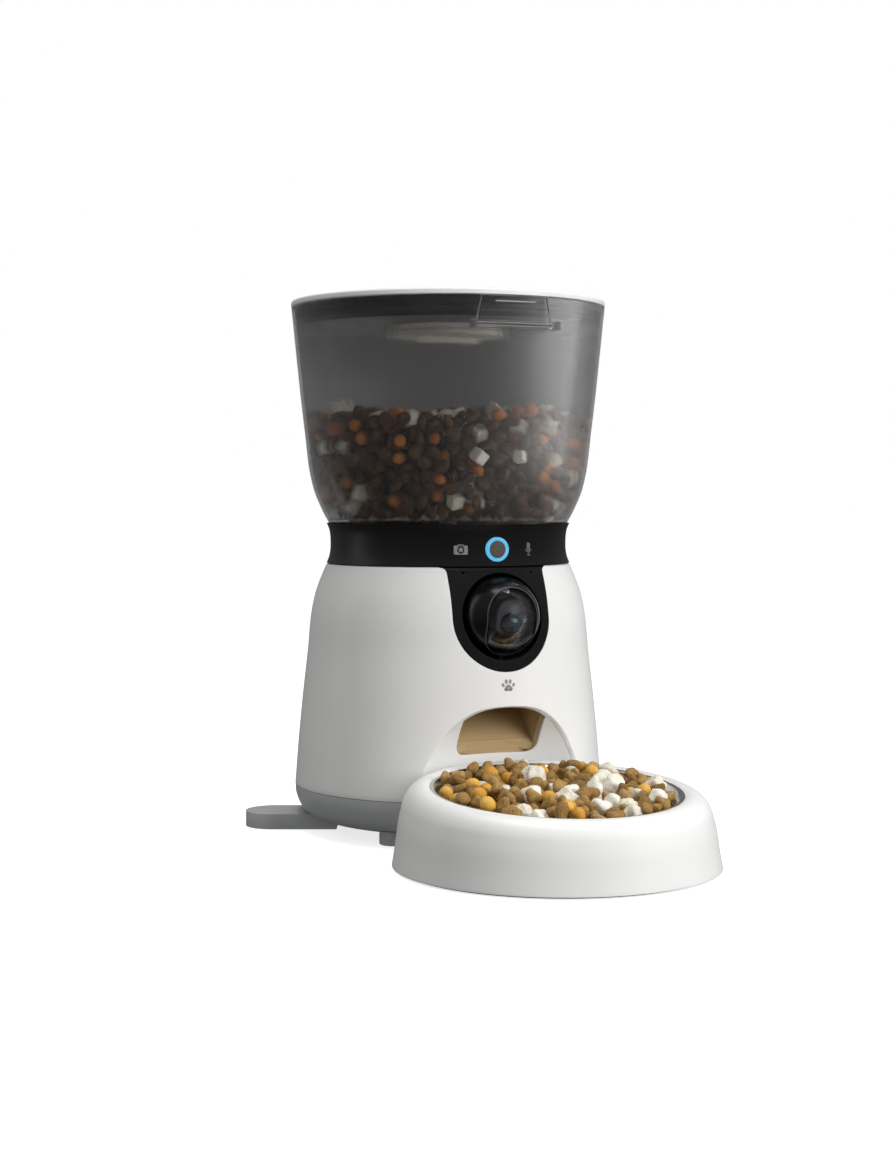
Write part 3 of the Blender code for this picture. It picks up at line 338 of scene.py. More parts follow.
TAN_FOOD = baked_food("extruded kibble, tan", ["#A88448", "#BC985C", "#CDAA70"])
DARK_FOOD = baked_food("extruded kibble, dark brown", ["#4A2D16", "#60401F", "#704C28", "#523418"])
ORANGE_FOOD = baked_food("extruded kibble, orange", ["#B8652A", "#C4742F", "#CC8238"], 1.6, 0.12, 0.5, 0.8)
GOLD_FOOD = baked_food("extruded kibble, golden", ["#D09836", "#DFA946", "#E8B85A"], 1.6, 0.15, 0.48, 0.85)
CREAM_FOOD = baked_food("freeze-dried chunks, cream", ["#EAE3CF", "#F3EEDF", "#F7F4E9", "#E2DAC2"],
                        1.4, 0.35, 0.7, 0.8)


# ================================================================ shaping tools
def rounded_path(corners, closed=False, count=6):
    """Corners are (x, y, radius); each is replaced by an arc of its radius."""
    path = []
    total = len(corners)
    for i, corner in enumerate(corners):
        here = Vector(corner[:2])
        radius = corner[2] if len(corner) > 2 else 0.0
        if radius == 0.0 or (not closed and i in (0, total - 1)):
            path.append(tuple(here))
            continue
        before = Vector(corners[i - 1][:2]) - here
        after = Vector(corners[(i + 1) % total][:2]) - here
        half = before.angle(after) / 2
        reach = min(radius / math.tan(half), 0.49 * before.length, 0.49 * after.length)
        start, end = here + before.normalized() * reach, here + after.normalized() * reach
        for step in range(count + 1):
            t = step / count
            path.append(tuple((1 - t) ** 2 * start + 2 * t * (1 - t) * here + t * t * end))
    return path


def flowing(points, step=3.0):
    """A smooth curve through the points, drawn in steps of about this many millimetres."""
    spots = [Vector(p[:2]) for p in points]
    gaps = [(b - a).length for a, b in zip(spots, spots[1:])]
    slopes = [(b - a) / gap for a, b, gap in zip(spots, spots[1:], gaps)]
    leans = [slopes[0]]
    for i in range(1, len(gaps)):
        leans.append((slopes[i - 1] * gaps[i] + slopes[i] * gaps[i - 1]) / (gaps[i - 1] + gaps[i]))
    leans.append(slopes[-1])
    path = []
    for i, gap in enumerate(gaps):
        count = max(3, round(gap / step))
        for k in range(count):
            t = k / count
            path.append(tuple((1 + 2 * t) * (1 - t) ** 2 * spots[i] + t * (1 - t) ** 2 * gap * leans[i]
                              + t * t * (3 - 2 * t) * spots[i + 1] + t * t * (t - 1) * gap * leans[i + 1]))
    return path + [tuple(spots[-1])]


def inside_of(path, wall):
    """The same outline moved in by a wall; the outline runs down its outer side."""
    moved = []
    for i, point in enumerate(path):
        run = Vector(path[min(i + 1, len(path) - 1)]) - Vector(path[max(i - 1, 0)])
        run.normalize()
        moved.append((point[0] + run.y * wall, point[1] - run.x * wall))
    return moved


def shell_section(path, wall, edge=0.5):
    """A closed section: the outline, its inside, and a slightly rounded edge at each end."""
    inner = inside_of(path, wall)[::-1]
    ring = [(*p, 0.0) for p in path] + [(*p, 0.0) for p in inner]
    for corner in (0, len(path) - 1, len(path), len(ring) - 1):
        ring[corner] = (*ring[corner][:2], edge)
    return rounded_path(ring, closed=True, count=3)


def new_object(name, mesh, finish, place=None):
    obj = bpy.data.objects.new(name, mesh)
    bpy.context.scene.collection.objects.link(obj)
    if finish is not None:
        mesh.materials.append(finish)
    if place is not None:
        obj.matrix_world = place
    return obj


def shade(mesh, angle=38):
    mesh.shade_smooth()
    mesh.set_sharp_from_angle(angle=math.radians(angle))


def turned(name, section, finish, centre=AXIS, turn=Matrix.Identity(4), steps=144):
    """Turn a millimetre section about the upright axis through centre, or a tilted one."""
    shape = bmesh.new()
    rings = []
    for radius, height in section:
        if abs(radius) < 1e-4:
            rings.append([shape.verts.new((0, 0, height * MM))])
            continue
        angles = [2 * math.pi * i / steps for i in range(steps)]
        rings.append([shape.verts.new((radius * MM * math.cos(a), radius * MM * math.sin(a), height * MM))
                      for a in angles])
    pairs = list(zip(rings, rings[1:]))
    if len(rings[0]) > 1 and len(rings[-1]) > 1:
        pairs.append((rings[-1], rings[0]))
    for upper, lower in pairs:
        for i in range(steps):
            corners = [upper[i % len(upper)], upper[(i + 1) % len(upper)],
                       lower[(i + 1) % len(lower)], lower[i % len(lower)]]
            loop = list(dict.fromkeys(corners))     # three corners where a ring is one point
            if len(loop) > 2:
                shape.faces.new(loop)
    bmesh.ops.recalc_face_normals(shape, faces=shape.faces)
    mesh = bpy.data.meshes.new(name)
    shape.to_mesh(mesh)
    shape.free()
    shade(mesh)
    return new_object(name, mesh, finish, Matrix.Translation(centre) @ turn)


def turned_at(name, section, finish, place, steps=96):
    """A turned piece whose own upright axis is put at a place."""
    piece = turned(name, section, finish, steps=steps)
    piece.matrix_world = place
    return piece


def slab(name, outline, thickness, finish, place, edge=0.0):
    """A millimetre outline with a thickness, centred on its plane, its rims rounded by edge."""
    shape = bmesh.new()
    verts = [shape.verts.new((x * MM, y * MM, -thickness * MM / 2)) for x, y in outline]
    face = shape.faces.new(verts)
    grown = bmesh.ops.extrude_face_region(shape, geom=[face])
    risen = [v for v in grown["geom"] if isinstance(v, bmesh.types.BMVert)]
    bmesh.ops.translate(shape, verts=risen, vec=(0, 0, thickness * MM))
    bmesh.ops.recalc_face_normals(shape, faces=shape.faces)
    if edge:
        rims = [e for e in shape.edges if abs(e.verts[0].co.z - e.verts[1].co.z) < 1e-9]
        bmesh.ops.bevel(shape, geom=rims, offset=edge * MM, segments=3, profile=0.5, affect="EDGES")
    mesh = bpy.data.meshes.new(name)
    shape.to_mesh(mesh)
    shape.free()
    shade(mesh)
    return new_object(name, mesh, finish, place)


def settle(obj):
    """Turn an object's modifiers into its own mesh."""
    bpy.context.view_layer.update()
    seen = obj.evaluated_get(bpy.context.evaluated_depsgraph_get())
    mesh = bpy.data.meshes.new_from_object(seen)
    obj.modifiers.clear()
    obj.data = mesh
    shade(mesh)
    return obj


def combine(obj, other, operation):
    """Cut, join or trim obj with other, which is used up."""
    step = obj.modifiers.new(operation, "BOOLEAN")
    step.operation = operation
    step.object = other
    step.solver = "EXACT"
    settle(obj)
    bpy.data.objects.remove(other, do_unlink=True)
    return obj


def soften(obj, width, segments=2, angle=40):
    """Round an object's sharp edges."""
    bevel = obj.modifiers.new("edge", "BEVEL")
    bevel.width = width * MM
    bevel.segments = segments
    bevel.limit_method = "ANGLE"
    bevel.angle_limit = math.radians(angle)
    bevel.harden_normals = False
    return settle(obj)


def arc(x, y, radius, start, end, count):
    """Points along an arc from one angle in degrees to another."""
    angles = [math.radians(start + (end - start) * i / count) for i in range(count + 1)]
    return [(x + radius * math.cos(a), y + radius * math.sin(a)) for a in angles]


def stadium(width, height, count=20):
    """An upright outline with round ends."""
    radius, straight = width / 2, (height - width) / 2
    return arc(0, straight, radius, 0, 180, count) + arc(0, -straight, radius, 180, 360, count)


def finished(piece, body, slot_name, *nodes):
    """Put a piece on its body, in place of the plain nodes that it stands for."""
    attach(piece, body)
    if nodes:
        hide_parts(*nodes)
    return piece


def from_axis(x, forward, z):
    """A point in millimetres from the feeder's axis, forward towards the bowl."""
    return AXIS + Vector((x, -forward, z)) * MM


def cylinder(name, radius, start, end, steps=48):
    """A plain round cutter or joining rod between two points in metres, radius in millimetres."""
    along = Vector(end) - Vector(start)
    place = Matrix.Translation(start) @ Vector((0, 0, 1)).rotation_difference(along).to_matrix().to_4x4()
    reach = along.length / MM
    return turned_at(name, [(0, 0), (radius, 0), (radius, reach), (0, reach)], None, place, steps)


def block(name, size, centre):
    """A plain cutter: size in millimetres, centre in metres."""
    x, y = size[0] / 2, size[1] / 2
    return slab(name, [(-x, -y), (x, -y), (x, y), (-x, y)], size[2], None, Matrix.Translation(centre))


def filled(path):
    """The solid inside an outline that runs down from its top."""
    return [(0.0, path[0][1])] + list(path) + [(0.0, path[-1][1])]


# ================================================================ outlines, top to bottom
BODY_LINE = ([(70.5, 161.0), (72.9, 160.95), (73.9, 160.5), (74.5, 159.6)]
             + flowing([(74.9, 158.6), (77.0, 153.8), (80.6, 144.0), (83.0, 133.4), (85.5, 109.3),
                        (88.6, 82.0), (91.6, 51.0), (93.4, 27.6)]))
BASE_LINE = flowing([(93.3, 27.2), (92.9, 22.0), (91.6, 18.0), (88.6, 12.6), (84.0, 9.2), (78.0, 6.9),
                     (73.0, 6.0)])
BAND_LINE = flowing([(73.9, 185.4), (72.4, 181.6), (71.75, 177.4), (71.6, 173.4), (71.75, 169.4),
                     (72.5, 165.2), (74.0, 161.4)], 1.0)
HOPPER_LINE = flowing([(94.9, 315.0), (87.2, 242.0), (83.1, 211.3), (81.2, 204.0), (77.9, 196.0),
                       (74.6, 189.2), (72.6, 185.7)])
HOLDER_LINE = flowing([(67.4, 39.2), (68.0, 41.2), (70.4, 42.6), (73.2, 43.0), (77.5, 42.0), (80.8, 39.6),
                       (83.3, 35.8), (85.4, 29.0), (88.4, 11.0), (90.0, 1.2)], 1.5)
ALCOVE_LINE = flowing([(40.0, 84.6), (50.0, 84.2), (58.0, 82.8), (66.0, 79.4), (72.0, 73.6), (77.5, 66.0),
                       (83.0, 55.0), (87.2, 44.0), (89.6, 30.0), (90.8, 18.0), (91.0, 4.0)])
BOWL_LINE = ([(69.9, -1.2), (70.2, -0.4), (69.9, 0.3), (69.0, 0.6)]
             + flowing([(68.2, 0.5), (66.9, -0.4), (64.4, -4.0), (60.0, -14.0), (57.4, -18.8), (53.0, -22.4),
                        (48.6, -24.6), (43.0, -26.0), (30.0, -26.8), (0.0, -27.0)], 1.5))


def moved_in(path, shift):
    """An outline with its radius smaller all along."""
    return [(r - shift, z) for r, z in path]


def radius_at(path, height):
    """An outline's radius at a height."""
    for (r1, z1), (r2, z2) in zip(path, path[1:]):
        if min(z1, z2) <= height <= max(z1, z2) and z1 != z2:
            return r1 + (r2 - r1) * (height - z1) / (z2 - z1)
    return path[0][0] if height > path[0][1] else path[-1][0]


def laid_on(obj, path, proud=0.04, thickness=0.12):
    """Lay an upright flat piece, drawn in X and Z, on the front of a turned outline."""
    for vert in obj.data.vertices:
        world = obj.matrix_world @ vert.co
        out = proud * MM + (thickness * MM if world.y < AXIS.y - 0.08 else 0.0)
        radius = radius_at(path, world.z / MM) * MM + out
        vert.co = Vector((world.x, AXIS.y - math.sqrt(max(radius ** 2 - world.x ** 2, 0.0)), world.z))
    obj.matrix_world = Matrix.Identity(4)
    return obj


def at_front(x, forward, z):
    """Where an upright outline's own origin goes: outline X is X, outline Y is up."""
    return Matrix.Translation(from_axis(x, forward, z)) @ FRONT


def panel_outline(half_width, bottom, top):
    """The bib's U, flared where it meets the band."""
    right = arc(half_width + 3, 157.6, 3, 180, 90, 10) + [(half_width + 3, top)]
    left = [(-x, y) for x, y in right[::-1]]
    return arc(0.0, bottom + half_width, half_width, 180, 360, 48) + right + left


def body_inside(name, shift, low, high):
    """The inside of the body and base, moved in by a shift, between two heights."""
    path = moved_in(BODY_LINE[4:], shift) + [(r - shift, z + shift) for r, z in BASE_LINE if z + shift < 27]
    path = [p for p in path if low < p[1] < high]
    path = [(path[0][0], high)] + path + [(path[-1][0], low)]
    return turned(name, filled(path), None)


def alcove_space(name, shift=0.0):
    """The space of the alcove, larger by a shift."""
    path = moved_in(ALCOVE_LINE, -shift)
    path = [(path[0][0], path[0][1] + shift)] + [(r, z + 0.6 * shift) for r, z in path[1:-1]]
    return turned(name, filled(path + [(path[-1][0], -1.0)]), None, BOWL)


# ================================================================ body, alcove and base
def make_body():
    """White body, the alcove that the bowl's holder slides into, the chute's sill, grey base."""
    inner = [(70.5, 158.6)] + inside_of(BODY_LINE[4:], 2.4)
    body = turned("white_body", BODY_LINE + inner[::-1], WHITE, steps=192)
    combine(body, alcove_space("alcove_cut"), "DIFFERENCE")
    combine(body, slab("panel_cut", panel_outline(30.5, 101, 167), 60, None, at_front(0, 85, 0)),
            "DIFFERENCE")
    for x, radius in ((0, 6.2), (26, 3.3)):     # mains inlet and reset button
        hole = cylinder("rear_cut", radius, from_axis(x, -80, 40), from_axis(x, -100, 40))
        combine(body, hole, "DIFFERENCE")
    finished(soften(body, 0.45), "root", "white_abs", "body_shell")

    alcove = turned("alcove_wall", shell_section(ALCOVE_LINE, -2.0, 0.3), WHITE, BOWL, steps=192)
    combine(alcove, body_inside("alcove_keep", 2.7, 9.3, 90), "INTERSECT")
    mouth = rounded_path([(-26, 52, 8), (26, 52, 8), (26, 110, 2), (-26, 110, 2)], True)
    combine(alcove, slab("mouth_cut", mouth, 60, None, at_front(0, 75, 0)), "DIFFERENCE")
    combine(alcove, block("tongue_cut", (37, 30, 7.4), from_axis(0, 60, 15)), "DIFFERENCE")
    finished(soften(alcove, 0.5), "root", "white_abs", "alcove")

    sill = Matrix.Translation(from_axis(0, 64.9, 55.5)) @ Matrix.Rotation(math.radians(16), 4, "X") @ FRONT
    shape = rounded_path([(-26.3, -4.6, 0.6), (26.3, -4.6, 0.6), (26.3, 4.6, 0.6), (-26.3, 4.6, 0.6)], True)
    finished(slab("chute_sill", shape, 1.2, BEIGE, sill, 0.3), "root", "nylon")

    base = turned("grey_base", shell_section(BASE_LINE + [(0.05, 6.0)], 2.4, 0.2), BASE_GREY, steps=192)
    combine(base, alcove_space("base_cut", 0.3), "DIFFERENCE")
    combine(base, block("door_cut", (100.6, 60.6, 12), from_axis(0, -24, 6)), "DIFFERENCE")
    finished(base, "root", "grey_abs", "base_shell")


def make_band():
    """Black waisted band, the camera's bib below it, the feed button and its lit ring."""
    inside = [(70.8, 161.4), (69.0, 164.0), (69.0, 182.6), (70.8, 185.4)]
    band = turned("black_band", rounded_path([(*p, 0.0) for p in BAND_LINE + inside], True), BLACK, steps=192)
    hole = cylinder("ring_cut", 7.25, from_axis(0, 60, BUTTON_HEIGHT), from_axis(0, 80, BUTTON_HEIGHT), 96)
    finished(combine(band, hole, "DIFFERENCE"), "root", "black_abs", "control_band")

    front = [(71.0, 160.9), (73.3, 160.7)] + [p for p in moved_in(BODY_LINE[3:], 0.2) if p[1] > 98]
    panel = turned("camera_bib", shell_section(front, 2.2, 0.3), BLACK, steps=192)
    combine(panel, slab("bib_keep", panel_outline(30.2, 101.3, 165), 50, None, at_front(0, 85, 0)),
            "INTERSECT")
    socket = cylinder("socket_cut", 25.0, from_axis(0, 60, BALL_HEIGHT), from_axis(0, 110, BALL_HEIGHT), 128)
    combine(panel, socket, "DIFFERENCE")
    for x in (-21.5, 21.5):
        hole = cylinder("sound_cut", 0.75, from_axis(x, 60, 157.6), from_axis(x, 80, 157.6))
        combine(panel, hole, "DIFFERENCE")
    finished(soften(panel, 0.4), "root", "black_abs", "camera_panel")

    spot = at_front(0, 71.8, BUTTON_HEIGHT)
    ring = rounded_path([(5.25, 1.2, 0.3), (7.0, 1.2, 0.5), (7.0, -2.6, 0), (5.25, -2.6, 0)], True)
    finished(turned_at("lit_ring", ring, LIT, spot), "root", "light_ring", "light_ring")
    cap = [(0.0, 1.05), (3.9, 1.2), (4.8, 1.15), (5.0, 1.0), (5.1, 0.7), (5.1, -2.4), (2.0, -2.4),
           (2.0, -4.2), (0.0, -4.2)]
    finished(turned_at("ringed_button", cap, CAP, spot), "feed_button", "grey_abs", "feed_button")


def icon(name, outlines, turn_deg, height, finish, line):
    """Ink outlines laid on the front, turned round the axis to their place."""
    joined = bmesh.new()
    for outline in outlines:
        part = laid_on(slab(name, outline, 4, None, at_front(0, 82, height)), line)
        joined.from_mesh(part.data)
        bpy.data.objects.remove(part, do_unlink=True)
    mesh = bpy.data.meshes.new(name)
    joined.to_mesh(mesh)
    joined.free()
    turn = Matrix.Rotation(math.radians(turn_deg), 4, "Z")
    mesh.transform(Matrix.Translation(AXIS) @ turn @ Matrix.Translation(-AXIS))
    shade(mesh)
    finished(new_object(name, mesh, finish), "root", "grey_abs")


def oval(x, y, width, height, lean=0.0, count=28):
    """An ellipse with its upright axis leaning by an angle."""
    points = []
    for i in range(count):
        a = 2 * math.pi * i / count
        u, v = width / 2 * math.cos(a), height / 2 * math.sin(a)
        points.append((x + u * math.cos(lean) - v * math.sin(lean),
                       y + u * math.sin(lean) + v * math.cos(lean)))
    return points


def make_marks():
    """Printed symbols: a camera and a microphone beside the button, a paw over the alcove."""
    outside = [(0.0, 3.1), (-1.5, 3.1), (-2.1, 2.3), (-3.6, 2.3), (-4.1, 1.8), (-4.1, -2.4), (-3.6, -2.9),
               (0.0, -2.9)]
    left_half = outside + [(0.0, -2.3)] + arc(0, -0.2, 2.1, 270, 90, 24) + [(0.0, 1.9)]
    right_half = [(-x, y) for x, y in left_half[::-1]]
    camera = [left_half, right_half, oval(0, -0.2, 2.6, 2.6)]
    icon("camera_icon", camera, -17.4, BUTTON_HEIGHT, ICON_INK, BAND_LINE)
    pod = [(x, y + 1.2) for x, y in stadium(2.6, 5.2, 10)]
    cradle = arc(0, 0.4, 2.5, 190, 350, 14) + arc(0, 0.4, 2.0, 350, 190, 14)
    stem = [(-0.3, -3.3), (0.3, -3.3), (0.3, -1.9), (-0.3, -1.9)]
    foot = [(-1.3, -3.8), (1.3, -3.8), (1.3, -3.3), (-1.3, -3.3)]
    icon("microphone_icon", [pod, cradle, stem, foot], 17.4, BUTTON_HEIGHT, ICON_INK, BAND_LINE)
    pad = flowing([(0, 0.9), (-1.5, 0.0), (-2.5, -1.9), (-1.6, -2.9), (0, -2.5), (1.6, -2.9), (2.5, -1.9),
                   (1.5, 0.0), (0, 0.9)], 0.4)[:-1]
    toes = [oval(side * x, y, width, height, -side * lean)
            for side in (-1, 1)
            for x, y, width, height, lean in ((3.3, 0.6, 1.6, 2.3, 0.45), (1.25, 2.5, 1.7, 2.6, 0.15))]
    icon("paw_print", [pad] + toes, 0, 93.2, MARK_INK, BODY_LINE)


# ================================================================ hopper, lid and latch
def make_hopper():
    """Hopper with the latch's two lugs, and the latch with its thumb ridge."""
    section = shell_section(HOPPER_LINE + [(61.3, 185.7), (61.3, 181.2)], 2.0, 0.5)
    shell = turned("smoke_hopper", section, SMOKE, steps=192)
    across = Vector((MM, 0, 0))
    for side in (-1, 1):
        lug = block("lug", (2.4, 10, 4.6), LATCH + Vector((side * 25.8, 2.6, 0)) * MM)
        combine(shell, lug, "UNION")
        hole = cylinder("lug_cut", 1.1, LATCH + side * 20 * across, LATCH + side * 30 * across)
        combine(shell, hole, "DIFFERENCE")
    finished(shell, "hopper", "smoke_polycarbonate", "hopper")

    front = 97.4
    section = shell_section([(front, 314.6), (front, 296.4)], 1.8, 0.3)
    latch = turned("smoke_latch", section, SMOKE_CLEAR, steps=256)
    shape = rounded_path([(-24, 296.2, 2.4), (24, 296.2, 2.4), (20, 314.8, 1.4), (-20, 314.8, 1.4)], True)
    combine(latch, slab("latch_keep", shape, 40, None, at_front(0, 96, 0)), "INTERSECT")
    combine(latch, cylinder("knuckle", 2.1, LATCH - 23.6 * across, LATCH + 23.6 * across), "UNION")
    combine(latch, cylinder("bore_cut", 1.15, LATCH - 30 * across, LATCH + 30 * across), "DIFFERENCE")
    soften(latch, 0.5)
    latch.data.materials.append(SMOKE_EDGE_PAINTED_HIGHLIGHT)
    for face in latch.data.polygons:            # the rims get the painted highlight, not the front and back
        outward = face.center * Vector((1, 1, 0))
        on_rim = abs(face.normal.dot(outward.normalized())) < 0.85
        if on_rim and (front - 1.6) * MM < outward.length < (front + 0.2) * MM:
            face.material_index = 1
    finished(latch, "lid_latch", "smoke_polycarbonate", "lid_latch")
    ridge = rounded_path([(-12.5, -0.35, 0.3), (12.5, -0.35, 0.3), (12.5, 0.35, 0.3), (-12.5, 0.35, 0.3)],
                         True)
    # the thumb ridge carries the same painted highlight
    grip = slab("latch_ridge", ridge, 1.2, SMOKE_EDGE_PAINTED_HIGHLIGHT, at_front(0, front - 0.3, 311.4))
    for vert in grip.data.vertices:             # curved to the latch's front
        world = grip.matrix_world @ vert.co
        out = front + 0.35 if world.y < AXIS.y - (front - 0.3) * MM else front - 0.4
        vert.co = Vector((world.x, AXIS.y - math.sqrt((out * MM) ** 2 - world.x ** 2), world.z))
    grip.matrix_world = Matrix.Identity(4)
    finished(grip, "lid_latch", "smoke_polycarbonate")


def make_lid():
    """Crowned lid, the tray under it and the seal round the tray; heights are above its edge."""
    z = LID_EDGE
    top = flowing([(0.0, 5.6), (30.0, 5.5), (60.0, 5.2), (80.0, 4.6), (90.0, 3.9)], 4)
    rim = rounded_path([(90.0, 3.9), (95.0, 3.2, 1.4), (95.0, 0.0, 0.6), (90.0, 0.0), (88.0, 1.6),
                        (0.0, 2.6)])
    cover = turned("white_lid", [(r, z + h) for r, h in top[:-1] + rim], WHITE, steps=192)
    finished(cover, "lid", "white_abs", "lid_cover")
    tray = [(60.0, z - 0.3, 0), (89.6, z - 0.3, 0.6), (89.6, z - 9.0, 1.5), (86.0, z - 11.4, 1.5),
            (36.0, z - 11.4, 1), (36.0, z - 9.8, 0), (85.4, z - 9.8, 1), (88.0, z - 8.0, 1),
            (88.0, z - 1.9, 0), (60.0, z - 1.9, 0)]
    finished(turned("liner_tray", rounded_path(tray, True), BLACK), "lid", "black_abs", "lid_liner")
    lip = [(89.9, z - 2.0, 0), (92.0, z - 2.0, 0.5), (92.0, z - 4.0, 0.6), (91.2, z - 5.0, 0.5),
           (91.6, z - 6.6, 0.7), (89.9, z - 8.0, 0)]
    finished(turned("lip_seal", rounded_path(lip, True), SEAL), "lid", "silicone", "lid_seal")


# ================================================================ camera
def look_place(forward, up=0.0):
    """Matrix of an upright outline in the camera's own tilted frame."""
    return (Matrix.Translation(BALL) @ Matrix.Rotation(LOOK_DOWN, 4, "X")
            @ Matrix.Translation((0, -forward * MM, up * MM)) @ FRONT)


def sphere(name, radius, finish, count=64):
    """A ball turned about the camera's own middle."""
    section = [(radius * math.sin(math.pi * i / count), radius * math.cos(math.pi * i / count))
               for i in range(1, count)]
    return turned(name, [(0, radius)] + section + [(0, -radius)], finish, BALL, steps=128)


def hollow_ball(name, radius, wall, finish):
    """A ball with a wall, to be cut where it is open."""
    return combine(sphere(name, radius, finish), sphere(name + "_hollow", radius - wall, None), "DIFFERENCE")


def make_camera():
    """Ball with its window and trim, the lens on its carrier, and the socket in the body."""
    ball = hollow_ball("glossy_ball", 23.0, 1.6, GLOSS)
    combine(ball, slab("window_cut", stadium(31, 40.6), 24, None, look_place(20)), "DIFFERENCE")
    combine(ball, cylinder("spindle_cut", 2.3, BALL - Vector((0, 0, 0.03)), BALL), "DIFFERENCE")
    finished(soften(ball, 0.35), "camera_ball", "gloss_black", "camera_ball")

    glass = hollow_ball("tinted_window", 22.5, 1.2, WINDOW)
    combine(glass, slab("window_keep", stadium(30.4, 40.0), 20, None, look_place(18)), "INTERSECT")
    finished(glass, "camera_ball", "window_glass", "camera_window")
    trim = hollow_ball("window_trim", 23.06, 0.5, GRAPHITE)
    combine(trim, slab("trim_keep", stadium(31.5, 41.1), 20, None, look_place(18)), "INTERSECT")
    combine(trim, slab("trim_cut", stadium(30.6, 40.2), 24, None, look_place(18)), "DIFFERENCE")
    finished(trim, "camera_ball", "grey_abs")

    plate_shape = rounded_path([(-8.6, -6.6, 6.4), (8.6, -6.6, 6.4), (8.6, 13.4, 8.4), (-8.6, 13.4, 8.4)],
                               True, 12)
    carrier = slab("lens_plate", plate_shape, 3, GRAPHITE, look_place(12.4), 0.3)
    behind = BALL + Matrix.Rotation(LOOK_DOWN, 3, "X") @ Vector((0, -0.006, 0))
    combine(carrier, block("carrier_arm", (8, 14, 8), behind), "UNION")
    reach = Vector((0.017, 0, 0))
    combine(carrier, cylinder("carrier_axle", 2, BALL - reach, BALL + reach), "UNION")
    finished(carrier, "lens_carrier", "grey_abs", "lens_carrier")
    barrel = [(0.0, -1.2), (6.2, -1.2), (6.2, 0.9), (5.9, 1.2), (5.3, 1.2), (4.9, 0.2), (0.0, 0.2)]
    finished(turned_at("lens_ring", barrel, GLOSS, look_place(15.4)), "lens_carrier", "gloss_black",
             "lens_barrel")
    edge = math.radians(80)
    bulge = 1.9 / (1 - math.cos(edge))
    angles = [edge * i / 16 for i in range(17)]
    dome = [(4.9 * math.sin(a), 0.2 + bulge * (math.cos(a) - math.cos(edge))) for a in angles]
    glass = turned_at("lens_glass", dome + [(0.0, 0.2)], LENS, look_place(16.7))
    finished(glass, "lens_carrier", "lens_glass", "lens")

    def half_round(radius):
        return [(radius, 17.0)] + arc(0, 0, radius, 0, -90, 24)[:-1] + [(0.0, -radius)]

    section = half_round(24.8) + half_round(26.3)[::-1]
    cup = turned_at("ball_socket", section, BLACK, Matrix.Translation(BALL) @ FRONT, 128)
    combine(cup, body_inside("socket_keep", 2.5, 90, 160), "INTERSECT")
    combine(cup, cylinder("spindle_way", 2.6, BALL - Vector((0, 0, 0.034)), BALL), "DIFFERENCE")
    finished(cup, "root", "black_abs", "camera_socket")


# ================================================================ bowl and holder
def make_bowl():
    """Holder, sheared so that its rim is lower at the front, with its tongue; foot ring; dish."""
    holder = turned("white_holder", shell_section(HOLDER_LINE, 2.2, 0.4), WHITE, BOWL, steps=192)
    slope = math.tan(RIM_LEAN) / (43 * MM)      # the holder is 43 mm high
    for vert in holder.data.vertices:
        vert.co.z += vert.co.z * slope * vert.co.y
    combine(holder, block("tongue", (36, 18, 6), from_axis(0, 54.4, 15)), "UNION")
    finished(holder, "bowl_holder", "white_abs", "bowl_holder")
    foot = rounded_path([(78, 4, 0), (86.4, 4, 0.4), (87, 0, 0.6), (78, 0, 0.6)], True)
    finished(turned("rubber_foot_ring", foot, SEAL, BOWL), "bowl_holder", "silicone", "bowl_foot_ring")
    under = inside_of(BOWL_LINE, 0.8)
    under[-1] = (0.0, under[-1][1])
    bowl = turned("steel_dish", BOWL_LINE + under[::-1], STEEL, DISH, LEAN, 192)
    finished(bowl, "steel_bowl", "stainless_steel", "steel_bowl")


def make_feet():
    """Two side stays and four pads, cut to lie under the base."""
    above = [(r + 0.3, z - 0.3) for r, z in BASE_LINE]
    room = filled([(above[0][0], 40)] + above)      # the base and what is over it
    stay = arc(0, 0, 17.5, -90, 90, 40) + [(-39, 17.5), (-39, -17.5)]
    pad_section = rounded_path([(0, 0), (9, 0, 0.8), (9, 10, 0.5), (0, 10)])
    for side, word in ((-1, "left"), (1, "right")):
        turn = math.radians(23.3) if side > 0 else math.pi - math.radians(23.3)
        spot = AXIS + Vector((math.cos(turn), math.sin(turn), 0)) * 0.1065 + Vector((0, 0, 0.0047))
        place = Matrix.Translation(spot) @ Matrix.Rotation(turn, 4, "Z")
        arm = slab(f"side_stay_{word}", stay, 9.4, BASE_GREY, place)
        combine(arm, turned("stay_cut", room, None), "DIFFERENCE")
        finished(soften(arm, 1.0, 3), "root", "grey_abs", f"stabiliser_{word}")
        for end, degrees in (("front", 48), ("rear", 152)):
            a = math.radians(degrees)
            spot = AXIS + Vector((side * math.sin(a), -math.cos(a), 0)) * 0.074
            pad = turned(f"pad_{end}_{word}", pad_section, GREY_RUBBER, spot, steps=64)
            combine(pad, turned("pad_cut", room, None), "DIFFERENCE")
            finished(pad, "root", "grey_silicone", f"{end}_foot_{word}")


